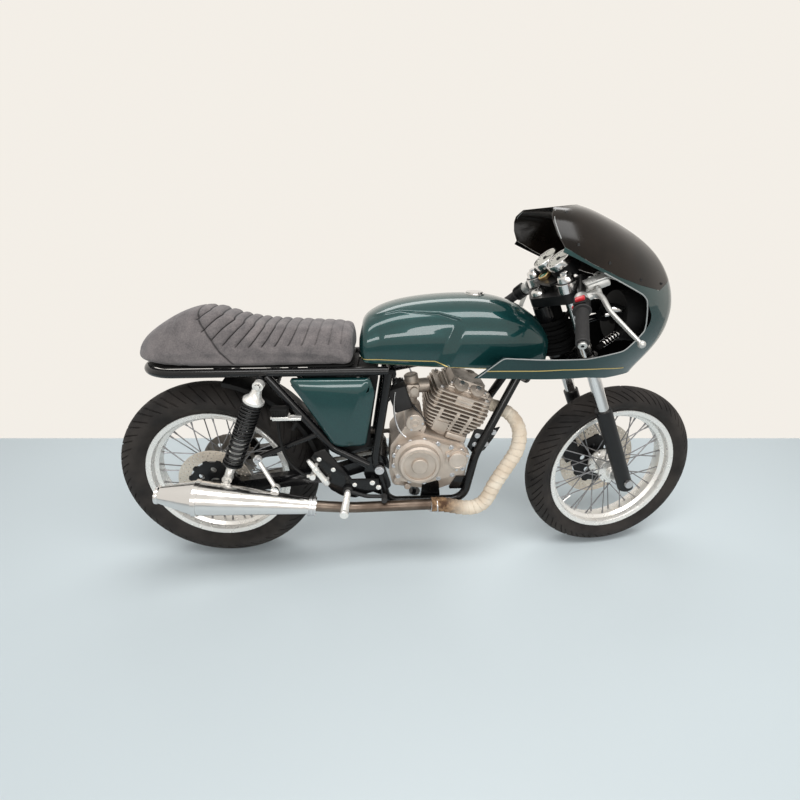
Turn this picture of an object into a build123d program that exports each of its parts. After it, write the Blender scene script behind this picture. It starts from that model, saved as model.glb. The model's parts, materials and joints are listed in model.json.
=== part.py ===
from build123d import *
import os
from math import acos, atan2, cos, degrees, hypot, radians, sin, sqrt

# Cafe racer motorcycle leaning on its side stand, in millimetres.
# Pieces are drawn with the machine upright: +X forward, +Y to its left, +Z up, the rear axle above the origin
# and the ground at z = 0. What turns with the handlebars is drawn in the fork's own frame, whose Z runs up the
# steering axis. The last section leans the machine onto its stand and centres it.

# ---- driving dimensions ------------------------------------------------------------------------------------
WHEELBASE = 1391.0
RAKE = 24.9  # steering axis from the vertical, degrees
FORK_OFFSET = 44.3  # fork legs ahead of the steering axis
FORK_SPREAD = 99.0  # each leg from the centre plane
STEER_AT_REST = 6.4  # handlebars turned to the left, degrees
STEER_LOCK = 25.0  # each way from straight ahead, degrees
LEAN = 9.0  # degrees, to the left
WALL = 3.0  # sheet and moulded walls
FIT = 0.05  # radial clearance of a shaft in its bore
SEAT_GAP = 0.3  # soft or loose piece from what carries it

# Wheels: tyre radius, tyre half width, bead seat radius, rim lip radius, rim inner half width, hub flange radius
REAR = dict(tyre=335.0, half=67.0, bead=228.6, lip=242.5, rim=41.0, flange=58.0, hub=70.0, axle=9.0)
FRONT = dict(tyre=311.3, half=54.0, bead=222.6, lip=236.4, rim=36.0, flange=50.0, hub=60.0, axle=8.0)
TYRE_WALL = 9.0
RIM_WALL = 4.5
RIM_WELL = 13.0  # depth of the rim's centre well
SPOKES = 36
SPOKE_R = 2.0
SPOKE_CROSSING = 36.0  # degrees a spoke leads or trails its hub hole

# Frame tubes
TUBE_R = 14.0
RAIL_R = 13.0
BACKBONE_R = 27.0
CRADLE_Y = 105.0
RAIL_Y = 107.0
RAIL_Z = 736.0
LOOP_BACK_X = -150.0
SEAT_TUBE_TOP = (585.0, 729.0)
PIVOT = (552.0, 401.0)
PIVOT_R = 10.0
HEAD_LOW = 505.0  # headstock ends, along the steering axis
HEAD_HIGH = 677.0
HEAD_R = 30.0
STEM_R = 15.0

# Fork, along its own axis from the level of the front axle
YOKE_LOW = (470.0, 500.0)
YOKE_TOP = (684.0, 712.0)
STANCHION_R = 19.0
STANCHION_TOP = 760.0
SLIDER_R = 25.0
SLIDER_TOP = 300.0

# Engine
CRANK = (682.0, 424.0)
CASE_HALF = 86.0
BARREL_FOOT = (768.0, 488.0)
BARREL_TILT = 20.0

FROM_END = (Align.CENTER, Align.CENTER, Align.MIN)
SIDES = (-1, 1)


# ---- helpers -----------------------------------------------------------------------------------------------
def rod(start, end, radius):
    """Round bar between two points."""
    start = Vector(*start)
    run = Vector(*end) - start
    return Plane(origin=start, z_dir=run) * Cylinder(radius, run.length, align=FROM_END)


def drum(centre, y_from, y_to, radius):
    """Round bar across the machine, through (x, z) in the side view."""
    return Pos(centre[0], y_from, centre[1]) * Rot(-90, 0, 0) * Cylinder(radius, y_to - y_from, align=FROM_END)


def outline(points, corner):
    """Closed outline with rounded corners."""
    return make_face(FilletPolyline(*points, radius=corner, close=True))


def side_plate(face, y_from, y_to):
    """Plate of a side-view outline (x, z), from one y to another."""
    return Pos(0, y_from, 0) * extrude(Plane.XZ * face, -(y_to - y_from))


def tube(points, radius, bends):
    """Round bar along straight runs joined by tangent bends."""
    path = FilletPolyline(*points, radius=bends)
    return sweep(Plane(origin=path @ 0, z_dir=path % 0) * Circle(radius), path=path)


def turned(profile):
    """Body of revolution about the Y axis of a profile of (y, radius)."""
    return revolve(Plane.YZ * profile, Axis.Y)


def both_sides(piece):
    """A piece and its mirror image across the centre plane."""
    return Part() + [piece, mirror(piece, Plane.XZ)]


# ---- wheels ------------------------------------------------------------------------------------------------
def tyre(wheel):
    """Round-crowned tyre: crown arc, bulged side walls, beads on the rim's seats."""
    bands = []
    for wall in (0.0, TYRE_WALL):
        half = wheel["half"] - wall
        crown = wheel["tyre"] - wheel["half"]
        bead = wheel["rim"] - wall * 0.8
        knee = wheel["lip"] + 1
        bulge = ((half + bead) / 2 + 5, (crown + knee) / 2)
        bands.append(make_face([
            ThreePointArc((-half, crown), (0, crown + half), (half, crown)),
            ThreePointArc((half, crown), bulge, (bead, knee)),
            Line((bead, knee), (bead, wheel["bead"])),
            Line((bead, wheel["bead"]), (-bead, wheel["bead"])),
            Line((-bead, wheel["bead"]), (-bead, knee)),
            ThreePointArc((-bead, knee), (-bulge[0], bulge[1]), (-half, crown)),
        ]))
    return turned(bands[0] - bands[1])


def rim(wheel):
    """Alloy rim with raised lips, bead seats and a centre well."""
    lip, seat, inner = wheel["lip"], wheel["bead"], wheel["rim"]
    well = seat - RIM_WELL
    upper = [(inner, lip), (inner, seat), (inner * 0.6, seat), (inner * 0.4, well)]
    lower = [(inner * 0.4 + 3, well - RIM_WALL), (inner * 0.6 + 3, seat - RIM_WALL),
             (inner + RIM_WALL, seat - RIM_WALL), (inner + RIM_WALL, lip)]
    half = upper + [(0, well), (0, well - RIM_WALL)] + lower
    face = make_face(Polyline(*half, close=True))
    return turned(face + mirror(face, Plane.YZ))


def hub(wheel):
    """Hub with two spoke flanges, laced to the rim's well with crossed wire spokes."""
    flange_y = wheel["hub"] * 0.55
    barrel = drum((0, 0), -wheel["hub"], wheel["hub"], wheel["flange"] * 0.55)
    for side in SIDES:
        barrel += drum((0, 0), side * flange_y - 3.5, side * flange_y + 3.5, wheel["flange"])
    inner = wheel["bead"] - RIM_WELL - RIM_WALL
    wires = []
    for number in range(SPOKES):
        side = SIDES[number % 2]
        lead = SIDES[number // 2 % 2]
        at_rim = 360 / SPOKES * number
        at_hub = at_rim - lead * SPOKE_CROSSING
        near = Rot(0, at_hub, 0) * Pos(0, side * flange_y + lead * 4.5, wheel["flange"] - 5)
        far = Rot(0, at_rim, 0) * Pos(0, side * 8 + lead * 2, inner + 3)
        wires.append(rod(near.position, far.position, SPOKE_R))
    wires = (Part() + wires) & drum((0, 0), -wheel["hub"], wheel["hub"], inner)
    return barrel + wires - drum((0, 0), -200, 200, wheel["axle"] + FIT)


def brake_disc(y, radius, land, carrier):
    """Brake disc: the swept ring and its dished carrier."""
    ring = drum((0, 0), y - 2.5, y + 2.5, radius) - drum((0, 0), y - 3, y + 3, radius - land)
    spider = drum((0, 0), y - 4, y + 4, radius - land + 1) - drum((0, 0), y - 5, y + 5, carrier)
    return ring + spider


# ---- frame -------------------------------------------------------------------------------------------------
STEER_FOOT = (WHEELBASE - FORK_OFFSET * cos(radians(RAKE)), FRONT["tyre"] - FORK_OFFSET * sin(radians(RAKE)))
FORK = Pos(STEER_FOOT[0], 0, STEER_FOOT[1]) * Rot(0, -RAKE, 0)
TUNNEL_HALF = 52.0  # half width of the tank's tunnel
HEAD_BACK = 560.0  # where the backbone meets the headstock, along the steering axis


def on_axis(height):
    """Point on the steering axis of the upright machine."""
    return (FORK * Pos(0, 0, height)).position


def headstock():
    """Steering head bored for the stem, with the backbone and the upper gusset tube."""
    head = FORK * Pos(0, 0, HEAD_LOW) * Cylinder(HEAD_R, HEAD_HIGH - HEAD_LOW, align=FROM_END)
    spine = rod(on_axis(HEAD_BACK + 25), (SEAT_TUBE_TOP[0] + 10, 0, RAIL_Z - 12), BACKBONE_R)
    brace = rod(on_axis(HEAD_BACK - 25), (930, 0, 728), TUBE_R)
    cross = drum((SEAT_TUBE_TOP[0] + 10, RAIL_Z - 12), -CRADLE_Y, CRADLE_Y, TUBE_R)
    rubbers = drum((1010, 805), -TUNNEL_HALF, TUNNEL_HALF, 12)
    bore = FORK * Pos(0, 0, HEAD_LOW - 50) * Cylinder(STEM_R + FIT, HEAD_HIGH - HEAD_LOW + 100, align=FROM_END)
    return head + spine + brace + cross + rubbers - bore


ENGINE_PLATES = [
    [(786, 298), (842, 298), (856, 346), (812, 346)],
    [(690, 262), (760, 262), (752, 330), (698, 330)],
]


def cradle(side):
    """Down tube, lower rail and seat tube of one side, with the swingarm's pivot plate."""
    y = side * CRADLE_Y
    run = [(1068, side * 22, 792), (1000, side * 44, 690), (871, side * 90, 428), (838, y, 264),
           (578, y, 264), (538, y, 430), (SEAT_TUBE_TOP[0], y, SEAT_TUBE_TOP[1])]
    loop = tube(run, TUBE_R, [60, 150, 55, 45, 90])
    plate = outline([(500, 380), (515, 440), (556, 452), (590, 330), (560, 290), (520, 310)], 12)
    body = loop + side_plate(plate, y - 5, y + 5)
    for mount in ENGINE_PLATES:
        low, high = sorted((side * CASE_HALF, side * (CASE_HALF + 7)))
        body += side_plate(outline(mount, 5), low, high)
    if side > 0:
        body += stand_lug()
    body -= drum(PIVOT, y - 20, y + 20, PIVOT_R)
    return body - headstock_solid


def rear_loop():
    """Seat rails joined by the hooped tail, with the shock studs and the two diagonal struts."""
    run = [(SEAT_TUBE_TOP[0], -RAIL_Y, RAIL_Z), (LOOP_BACK_X, -RAIL_Y, RAIL_Z),
           (LOOP_BACK_X, RAIL_Y, RAIL_Z), (SEAT_TUBE_TOP[0], RAIL_Y, RAIL_Z)]
    loop = tube(run, RAIL_R, RAIL_Y - 1)
    strut = tube([(224, -RAIL_Y, 724), (404, -RAIL_Y, 478), (516, -RAIL_Y, 412)], RAIL_R, 60)
    strut += rod((365, -RAIL_Y, 531), HANGER_TOP, 9)
    loop += drum((FENDER_TAB_X, RAIL_Z), -RAIL_Y, RAIL_Y, 8)
    stud = drum(SHOCK_TOP, -SHOCK_Y - 17, -RAIL_Y, STUD_R) + rod((208, -RAIL_Y, 740), (208, -RAIL_Y, 700), 12)
    return loop + both_sides(strut + stud) - cradle_solids - headstock_solid


HANGER_TOP = (168.0, -RAIL_Y - 4, 452.0)
FENDER_TAB_X = 70.0
SHOCK_TOP = (208.0, 707.0)
SHOCK_FOOT = (68.0, 391.0)
SHOCK_Y = 136.0
EYE_R = 15.0
EYE_HALF = 11.0
STUD_R = 8.0
ARM_Y = 108.0
ARM_WIDTH = 28.0
ARM_HEIGHT = 44.0


def swingarm():
    """Fork of two arms on a cross tube, with the shocks' lower lugs and the axle's end plates."""
    slope = degrees(atan2(PIVOT[1] - REAR["tyre"], PIVOT[0]))
    reach = hypot(PIVOT[1] - REAR["tyre"], PIVOT[0])
    outer, inner = ARM_Y + ARM_WIDTH / 2, ARM_Y - ARM_WIDTH / 2
    plan = outline([(0, -58), (0, -86), (-60, -90), (-160, -outer), (-reach - 34, -outer),
                    (-reach - 34, -inner), (-175, -inner), (-80, -62)], 6)
    arm = Pos(0, 0, -ARM_HEIGHT / 2) * extrude(plan, ARM_HEIGHT)
    arms = Pos(PIVOT[0], 0, PIVOT[1]) * Rot(0, -slope, 0) * both_sides(arm)
    lug = outline([(40, 345), (52, 398), (84, 398), (110, 352)], 9)
    arms += both_sides(side_plate(lug, -outer, -outer + 8) + drum(SHOCK_FOOT, -SHOCK_Y - 13, -outer + 4, STUD_R))
    arms += drum(PIVOT, -74, 74, 26)
    arms -= drum(PIVOT, -200, 200, PIVOT_R) + drum((0, REAR["tyre"]), -200, 200, REAR["axle"])
    return arms


def swingarm_pivot():
    """Pivot bolt through both frame plates, with its cap nuts."""
    bolt = drum(PIVOT, -CRADLE_Y - 16, CRADLE_Y + 16, PIVOT_R)
    cap = drum(PIVOT, -CRADLE_Y - 24, -CRADLE_Y - TUBE_R - 0.1, 15)
    return bolt + both_sides(cap)


def rear_axle():
    """Rear spindle with its nuts outside the swingarm and spacers to the hub."""
    centre = (0, REAR["tyre"])
    outer = ARM_Y + ARM_WIDTH / 2
    pin = drum(centre, -outer - 11, outer + 11, REAR["axle"])
    nut = drum(centre, -outer - 8, -outer, 16)
    inner = ARM_Y - ARM_WIDTH / 2
    spacers = drum(centre, -inner, -REAR["hub"] - 8 - SEAT_GAP, 14) + drum(centre, CHAIN_Y + 3 + SEAT_GAP, inner, 14)
    return pin + both_sides(nut) + spacers


def shock(side):
    """Damper with its eyes, body and rod; returns the damper and the coil spring."""
    foot = Vector(SHOCK_FOOT[0], side * SHOCK_Y, SHOCK_FOOT[1])
    head = Vector(SHOCK_TOP[0], side * SHOCK_Y, SHOCK_TOP[1])
    line = Plane(origin=foot, z_dir=head - foot, x_dir=(0, 1, 0))
    length = (head - foot).length
    body = Pos(0, 0, 14) * Cylinder(17, 170, align=FROM_END) + Pos(0, 0, 150) * Cylinder(7, length - 165, align=FROM_END)
    body += Pos(0, 0, 62) * Cylinder(31, 6, align=FROM_END) + Pos(0, 0, length - 56) * Cylinder(31, 12, align=FROM_END)
    for height in (0, length):
        body += Pos(0, 0, height) * Rot(0, 90, 0) * Cylinder(EYE_R, 2 * EYE_HALF)
    for height in (0, length):
        body -= Pos(0, 0, height) * Rot(0, 90, 0) * Cylinder(STUD_R, 100)
    spring = Pos(0, 0, 68) * (Cylinder(30, length - 124, align=FROM_END) - Cylinder(21, length - 124, align=FROM_END))
    return line * body, line * spring


# ---- tank, seat and covers ---------------------------------------------------------------------------------
# Tank sections: x, half width at the belt, belt height, bottom height, top height, half width of the crown
TANK = [
    (503, 84, 790, 758, 832, 50),
    (548, 112, 800, 755, 898, 62),
    (640, 128, 812, 753, 932, 72),
    (800, 137, 815, 747, 943, 80),
    (950, 131, 810, 736, 925, 74),
    (1040, 104, 800, 740, 882, 54),
    (1078, 72, 790, 752, 820, 36),
]


def tank_section(x, half, belt, low, top, crown):
    """Cross-section with upright flanks, round shoulders and a bowed crown."""
    lift = (top - belt) * 0.86
    return Plane.YZ.offset(x) * make_face([
        Line((-half + 6, low), (half - 6, low)),
        Line((half - 6, low), (half, belt)),
        ThreePointArc((half, belt), (half - 0.19 * (half - crown) - 3, belt + lift * 0.58), (crown, belt + lift)),
        ThreePointArc((crown, belt + lift), (0, top), (-crown, belt + lift)),
        ThreePointArc((-crown, belt + lift), (-half + 0.19 * (half - crown) + 3, belt + lift * 0.58), (-half, belt)),
        Line((-half, belt), (-half + 6, low)),
    ])


def fuel_tank():
    """Lofted tank with the tunnel that straddles the backbone, and the filler's neck recess."""
    body = loft([tank_section(*row) for row in TANK])
    tunnel = outline([(480, 700), (480, 776), (1100, 868), (1100, 700)], 1)
    neck = FORK * Pos(0, 0, HEAD_LOW) * Cylinder(HEAD_R + 6, HEAD_HIGH - HEAD_LOW + 60, align=FROM_END)
    return body - side_plate(tunnel, -TUNNEL_HALF, TUNNEL_HALF) - neck - Pos(CAP_X, 0, CAP_Z - 8) * Cylinder(31, 60, align=FROM_END)


CAP_X = 850.0
CAP_Z = 938.0


def filler_cap():
    """Flush filler cap with its raised ring."""
    return Pos(CAP_X, 0, CAP_Z - 8) * (Cylinder(30.9, 14, align=FROM_END) + Pos(0, 0, 14) * Cylinder(26, 5, align=FROM_END))


# Seat sections: x, half width at the foot, foot above the seat's base, top height, half width near the top
SEAT = [
    (-178, 30, 17, 795, 18),
    (-150, 74, 9, 822, 40),
    (-70, 108, 3, 872, 56),
    (20, 116, 0, 912, 60),
    (60, 117, 0, 913, 64),
    (150, 118, 0, 882, 88),
    (260, 116, 0, 866, 98),
    (485, 104, 0, 852, 86),
]
SEAT_FOOT = 753.0


def seat_section(x, foot, lift, top, crown):
    """Cross-section with leaning sides and a flat-bowed top."""
    low = SEAT_FOOT + lift
    shoulder = top - min(16, (top - low) * 0.35)
    return Plane.YZ.offset(x) * make_face([
        Line((-foot, low), (foot, low)),
        Line((foot, low), (crown, shoulder)),
        ThreePointArc((crown, shoulder), (0, top), (-crown, shoulder)),
        Line((-crown, shoulder), (-foot, low)),
    ])


def seat():
    """Upholstered single seat with its rear hump."""
    return loft([seat_section(*row) for row in SEAT], ruled=True)


def seat_pan():
    """Seat base pan on the rails."""
    face = outline([(LOOP_BACK_X + 12, -60), (LOOP_BACK_X + 80, -100), (480, -100), (480, 100),
                    (LOOP_BACK_X + 80, 100), (LOOP_BACK_X + 12, 60)], 25)
    low = RAIL_Z + RAIL_R
    return Pos(0, 0, low) * extrude(face, SEAT_FOOT - SEAT_GAP - low)


COVER_IN, COVER_OUT = 100.0, 126.0
BOX_HALF = 84.0
BOX_TOP = 716.0


def side_cover(side):
    """Moulded cover in the triangle under the seat rail."""
    face = outline([(292, 714), (528, 714), (541, 668), (508, 492), (430, 488)], 14)
    cover = side_plate(face, -COVER_OUT, -COVER_IN)
    for peg in ((470, 690), (350, 690), (468, 520)):
        cover += drum(peg, -COVER_IN, -BOX_HALF, 6)
    return cover if side < 0 else mirror(cover, Plane.XZ)


def battery_box():
    """Closed box for the battery and the air filter between the side covers."""
    face = outline([(392, 505), (330, 660), (330, BOX_TOP), (556, BOX_TOP), (530, 560), (520, 470), (440, 440)], 10)
    strap = Pos(460, 0, BOX_TOP) * Box(60, 2 * COVER_IN - 4, RAIL_Z - 1 - BOX_TOP, align=FROM_END)
    return side_plate(face, -BOX_HALF, BOX_HALF) + strap - rear_loop_solid


def rear_fender():
    """Inner mudguard that follows the rear tyre below the seat."""
    shell = make_face([
        Line((-72, 352), (-72, 366)),
        ThreePointArc((-72, 366), (0, 374), (72, 366)),
        Line((72, 366), (72, 352)),
        Line((72, 352), (69, 352)),
        ThreePointArc((69, 352), (0, 371), (-69, 352)),
        Line((-69, 352), (-72, 352)),
    ])
    band = revolve(Plane.YZ * shell, Axis.Y, revolution_arc=78)
    band = Pos(0, 0, REAR["tyre"]) * Rot(0, 12, 0) * band
    return band + Pos(FENDER_TAB_X, 0, 700) * Box(24, 30, RAIL_Z - 8 - 700, align=FROM_END)


# ---- fairing -----------------------------------------------------------------------------------------------
# Fairing plan sections: height, half width, x of the nose, nose radius
FAIRING = [
    (700, 166, 1372, 90),
    (740, 178, 1395, 98),
    (800, 194, 1433, 107),
    (890, 211, 1453, 113),
    (980, 218, 1428, 107),
    (1060, 208, 1366, 97),
    (1120, 179, 1278, 86),
    (1158, 150, 1200, 76),
    (1180, 108, 1144, 58),
    (1200, 50, 1080, 32),
]
FAIRING_BACK = 800.0
FAIRING_STRAIGHT = 1000.0  # flanks run straight behind this


def fairing_section(height, half, nose, radius, back):
    """Plan section: straight flanks, long side arcs and a round nose, all tangent."""
    span = nose - radius - FAIRING_STRAIGHT
    side_r = (span ** 2 + half ** 2 - radius ** 2) / (2 * (half - radius))
    turn = atan2(span, side_r - half)
    meet = (nose - radius + radius * sin(turn), radius * cos(turn))
    middle = (FAIRING_STRAIGHT + side_r * sin(turn / 2), half - side_r + side_r * cos(turn / 2))
    corner = (FAIRING_STRAIGHT, half)
    flip = lambda point: (point[0], -point[1])
    face = make_face([
        Line((back, -half), (back, half)),
        Line((back, half), corner),
        ThreePointArc(corner, middle, meet),
        ThreePointArc(meet, (nose, 0), flip(meet)),
        ThreePointArc(flip(meet), flip(middle), flip(corner)),
        Line(flip(corner), (back, -half)),
    ])
    return Pos(0, 0, height) * face


def fairing_shell():
    """Open-backed nose shell that the fairing and its screen are cut from."""
    outer = loft([fairing_section(*row, FAIRING_BACK) for row in FAIRING])
    inner = []
    for height, half, nose, radius in FAIRING:
        inner.append(fairing_section(height, half - WALL, nose - WALL, radius - WALL, FAIRING_BACK - 10))
    core = loft(inner)
    return outer - core


# Side-view edges (x, z) of the fairing: its lower edge, the seam under the screen, the opening over the bars and
# the screen's rear rim
LOWER_EDGE = [(828, 734), (1000, 727), (1165, 722), (1240, 709), (1600, 701)]
SCREEN_SEAM = [(1600, 1060), (1430, 1000), (1347, 966), (1263, 986), (1187, 1010), (1098, 1046), (1025, 1084)]
COCKPIT = [(840, 806), (1000, 791), (1150, 786), (1275, 800), (1342, 884), (1290, 955), (980, 1091)]
COCKPIT_CORNER = 40.0
FLANK_END = (900, 800)
SCREEN_RIM = [(1008, 1115), (1000, 1142), (1000, 1158), (1012, 1176), (1110, 1186), (1180, 1193), (1700, 1200)]
SCREEN_GAP = 0.5
LAMP = (1386.0, 872.0, 78.0)  # x of the lamp's rear edge, height, radius


FORK_ROOM = hypot(FORK_OFFSET, FORK_SPREAD) + STANCHION_R + 6
fork_room = FORK * Pos(0, 0, SLIDER_TOP) * Cylinder(FORK_ROOM, YOKE_LOW[0] - SLIDER_TOP, align=FROM_END)


def fairing():
    """Cockpit fairing: upper band, nose and the lower flanks that run back beside the tank."""
    face = make_face(Polyline(*LOWER_EDGE, *SCREEN_SEAM, FLANK_END, close=True))
    body = (shell_solid & side_plate(face, -400, 400)) - fork_room
    body -= side_plate(outline(COCKPIT, COCKPIT_CORNER), -400, 400)
    return body - Pos(LAMP[0] - 60, 0, LAMP[1]) * Rot(0, 90, 0) * Cylinder(LAMP[2] + 1, 200, align=FROM_END)


def windscreen():
    """Smoked screen with its rounded corners and swept-up rear rim."""
    seam = [(x, z + SCREEN_GAP) for x, z in reversed(SCREEN_SEAM)]
    face = make_face(Polyline(*seam, *reversed(SCREEN_RIM), close=True))
    return shell_solid & side_plate(face, -400, 400)


def headlamp():
    """Round headlamp: bucket, rim and bowed lens in the fairing's nose."""
    bucket = Pos(LAMP[0] - 90, 0, LAMP[1]) * Rot(0, 90, 0) * Cylinder(LAMP[2], 120, align=FROM_END)
    dome = Pos(LAMP[0] - 90, 0, LAMP[1]) * Sphere(150)
    return bucket & dome


def fairing_bracket():
    """Bracket from the headstock to the headlamp, and the two lower stays to the flanks."""
    root = on_axis(590)
    boom = rod((root.X + 20, 0, root.Z + 6), (LAMP[0] - 90, 0, LAMP[1] + 10), 11)
    stays = []
    for side in SIDES:
        stays.append(tube([(1000, side * 58, 690), (1002, side * 120, 700), (1002, side * 173, 754)], 6, 30))
    return boom + stays - cradle_solids - headstock_solid - headlamp_solid


# ---- engine ------------------------------------------------------------------------------------------------
BARREL = Pos(BARREL_FOOT[0], 0, BARREL_FOOT[1]) * Rot(0, BARREL_TILT, 0)
FIN_PITCH = 13.5
FIN_THICK = 4.0
BARREL_FINS = 7
HEAD_FINS = 4
FIN_FIRST = 24.0
HEAD_JOINT = FIN_FIRST + BARREL_FINS * FIN_PITCH - 4


def crankcase():
    """Crankcase and gearbox casting, solid inside."""
    face = outline([(584, 372), (596, 316), (745, 292), (842, 330), (846, 440), (822, 470), (716, 505),
                    (640, 540), (590, 470)], 18)
    return side_plate(face, -CASE_HALF, CASE_HALF) - chain_room


def fin(height, along, across):
    """One cooling fin square to the barrel."""
    return Pos(0, 0, height) * extrude(RectangleRounded(along, across, 24), FIN_THICK)


def cylinder():
    """Barrel with its stack of fins, widening upwards."""
    body = Cylinder(58, HEAD_JOINT, align=FROM_END)
    for number in range(BARREL_FINS):
        spread = min(200, 150 + 11 * number)
        body += fin(FIN_FIRST + FIN_PITCH * number, spread, spread - 8)
    return BARREL * body - crankcase_solid


def cylinder_head():
    """Finned head with rocker box, inlet stub and exhaust port."""
    body = Pos(0, 0, HEAD_JOINT) * extrude(RectangleRounded(140, 150, 30), HEAD_FINS * FIN_PITCH + 4)
    for number in range(HEAD_FINS):
        body += fin(HEAD_JOINT + 4 + FIN_PITCH * number, 202 - 6 * number, 196)
    top = HEAD_JOINT + HEAD_FINS * FIN_PITCH + 4
    body += Pos(6, 0, top) * extrude(RectangleRounded(118, 150, 26), 34, taper=8)
    body += Pos(0, 0, HEAD_JOINT + 26) * Rot(0, 90, 0) * Cylinder(26, 112, align=FROM_END)
    return BARREL * body


CLUTCH_Y = CASE_HALF + 60  # outer face of the clutch cover
FILTER = (806.0, 430.0)


def engine_covers():
    """Clutch cover and oil filter cap on the right, alternator and sprocket covers on the left."""
    case = outline([(592, 400), (612, 350), (690, 332), (830, 372), (846, 430), (800, 472), (690, 508), (606, 480)], 30)
    clutch = drum(CRANK, -CLUTCH_Y, -CASE_HALF, 68)
    right = side_plate(case, -CASE_HALF - 26, -CASE_HALF) + chamfer(clutch.edges().group_by(Axis.Y)[0], 6)
    right -= drum(CRANK, -CLUTCH_Y - 5, -CLUTCH_Y + 5, 52) - drum(CRANK, -CLUTCH_Y - 5, -CLUTCH_Y + 5, 27)
    right += drum(FILTER, -CASE_HALF - 34, -CASE_HALF, 36) + drum(FILTER, -CASE_HALF - 44, -CASE_HALF, 29)
    left = side_plate(case, CASE_HALF, CASE_HALF + 22) + drum((742, 424), CASE_HALF, CASE_HALF + 42, 66) - chain_room
    return Part() + [right, left]


def starter_motor():
    """Starter lying across the case behind the barrel."""
    return drum((668, 556), -96, 40, 29) - crankcase_solid - cylinder_solid


def carburettor():
    """Carburettor with its bowl and rubbers between the head and the filter box."""
    body = rod((BARREL * Pos(-100, 0, HEAD_JOINT + 20)).position, (600, 0, 640), 24)
    body += rod((640, 0, 640), (646, 0, 600), 26)
    return body - cylinder_solid - head_solid - battery_solid


# Exhaust centre line: x, y, z
HEADER = [(898, -14, 588), (958, -20, 572), (1012, -70, 546), (1012, -112, 470), (928, -140, 340), (900, -146, 262),
          (840, -146, 254), (760, -146, 276), (450, -150, 274), (344, -172, 302)]
HEADER_R = 19.0
HANGER_FOOT = (222.0, -160.0, 366.0)
# Silencer: distance along its axis, radius
SILENCER_FRONT = (346.0, -172.0, 301.0)
SILENCER_TIP = (-124.0, -203.0, 384.0)
SILENCER = [(0, 29), (26, 29), (26, 26), (40, 28), (352, 54), (352, 57), (366, 57), (366, 54), (470, 25), (478, 27)]


def exhaust_header():
    """Heat-wrapped header pipe and its link to the silencer."""
    return tube(HEADER, HEADER_R, [30, 28, 36, 60, 36, 40, 60, 60]) - head_solid - silencer_solid


def silencer():
    """Reverse-cone megaphone."""
    start = Vector(*SILENCER_FRONT)
    run = Vector(*SILENCER_TIP) - start
    profile = [(0, 0)] + [(radius, along) for along, radius in SILENCER] + [(0, SILENCER[-1][0])]
    turned_body = revolve(Plane.XZ * make_face(Polyline(*profile, close=True)), Axis.Z)
    mouth = Pos(0, 0, SILENCER[-1][0] - 60) * Cylinder(18, 80, align=FROM_END)
    lug = drum((HANGER_FOOT[0], HANGER_FOOT[2]), HANGER_FOOT[1] - 16, HANGER_FOOT[1] - 6, 12)
    lug += Pos(HANGER_FOOT[0], HANGER_FOOT[1] - 11, HANGER_FOOT[2] - 28) * Box(24, 10, 28, align=FROM_END)
    return Plane(origin=start, z_dir=run) * (turned_body - mouth) + lug


# ---- running gear of the chassis ---------------------------------------------------------------------------
CHAIN_Y = 82.0
SPROCKET_REAR = 88.0
SPROCKET_FRONT = 33.0
SPROCKET_AT = (640.0, 404.0)
CHAIN_HALF = 8.0
CHAIN_WIDE = 6.5
CHAIN_ROOM = 6.0


def chain_loop(grow):
    """Outline round both sprockets, this far outside their pitch circles."""
    return make_hull([Pos(0, REAR["tyre"]) * CenterArc((0, 0), SPROCKET_REAR + grow, 0, 360),
                      Pos(*SPROCKET_AT) * CenterArc((0, 0), SPROCKET_FRONT + grow, 0, 360)])


def drive_chain():
    """Closed chain loop round both sprockets."""
    return side_plate(chain_loop(CHAIN_HALF) - chain_loop(-CHAIN_HALF), CHAIN_Y - CHAIN_WIDE, CHAIN_Y + CHAIN_WIDE)


def rear_sprocket():
    """Rear sprocket on the hub's left flange."""
    plate = drum((0, 0), CHAIN_Y - 3, CHAIN_Y + 3, SPROCKET_REAR - CHAIN_HALF - 0.5)
    return plate + drum((0, 0), REAR["hub"], CHAIN_Y - 3, 45) - drum((0, 0), 0, 200, REAR["axle"] + 8)


def rear_caliper():
    """Rear brake caliper under the right arm, on its torque plate."""
    face = outline([(60, 300), (66, 336), (128, 330), (138, 280), (90, 262)], 8)
    body = side_plate(face, -94, -56) - drum((0, REAR["tyre"]), -REAR_DISC_Y - 6, -REAR_DISC_Y + 6, 130)
    return body


REAR_DISC_Y = 74.0
REAR_DISC_R = 122.0
FRONT_DISC_Y = 64.0
FRONT_DISC_R = 146.0


PLATE_OUT = ARM_Y + ARM_WIDTH / 2 + 11  # outer face of the footrest plates, outside the swingarm
PLATE_THICK = 7.0
PLATE_FEET = [(528, 358), (548, 340)]
PEG = (448.0, 334.0)
PEG_END = 262.0
TOE = (566.0, 308.0)  # toe end of the brake pedal and the gear lever
TOE_END = 172.0
CYLINDER_TOP = (330.0, 452.0)  # rear brake master cylinder
CYLINDER_FOOT = (392.0, 350.0)
RESERVOIR = (262.0, 596.0)


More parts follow.
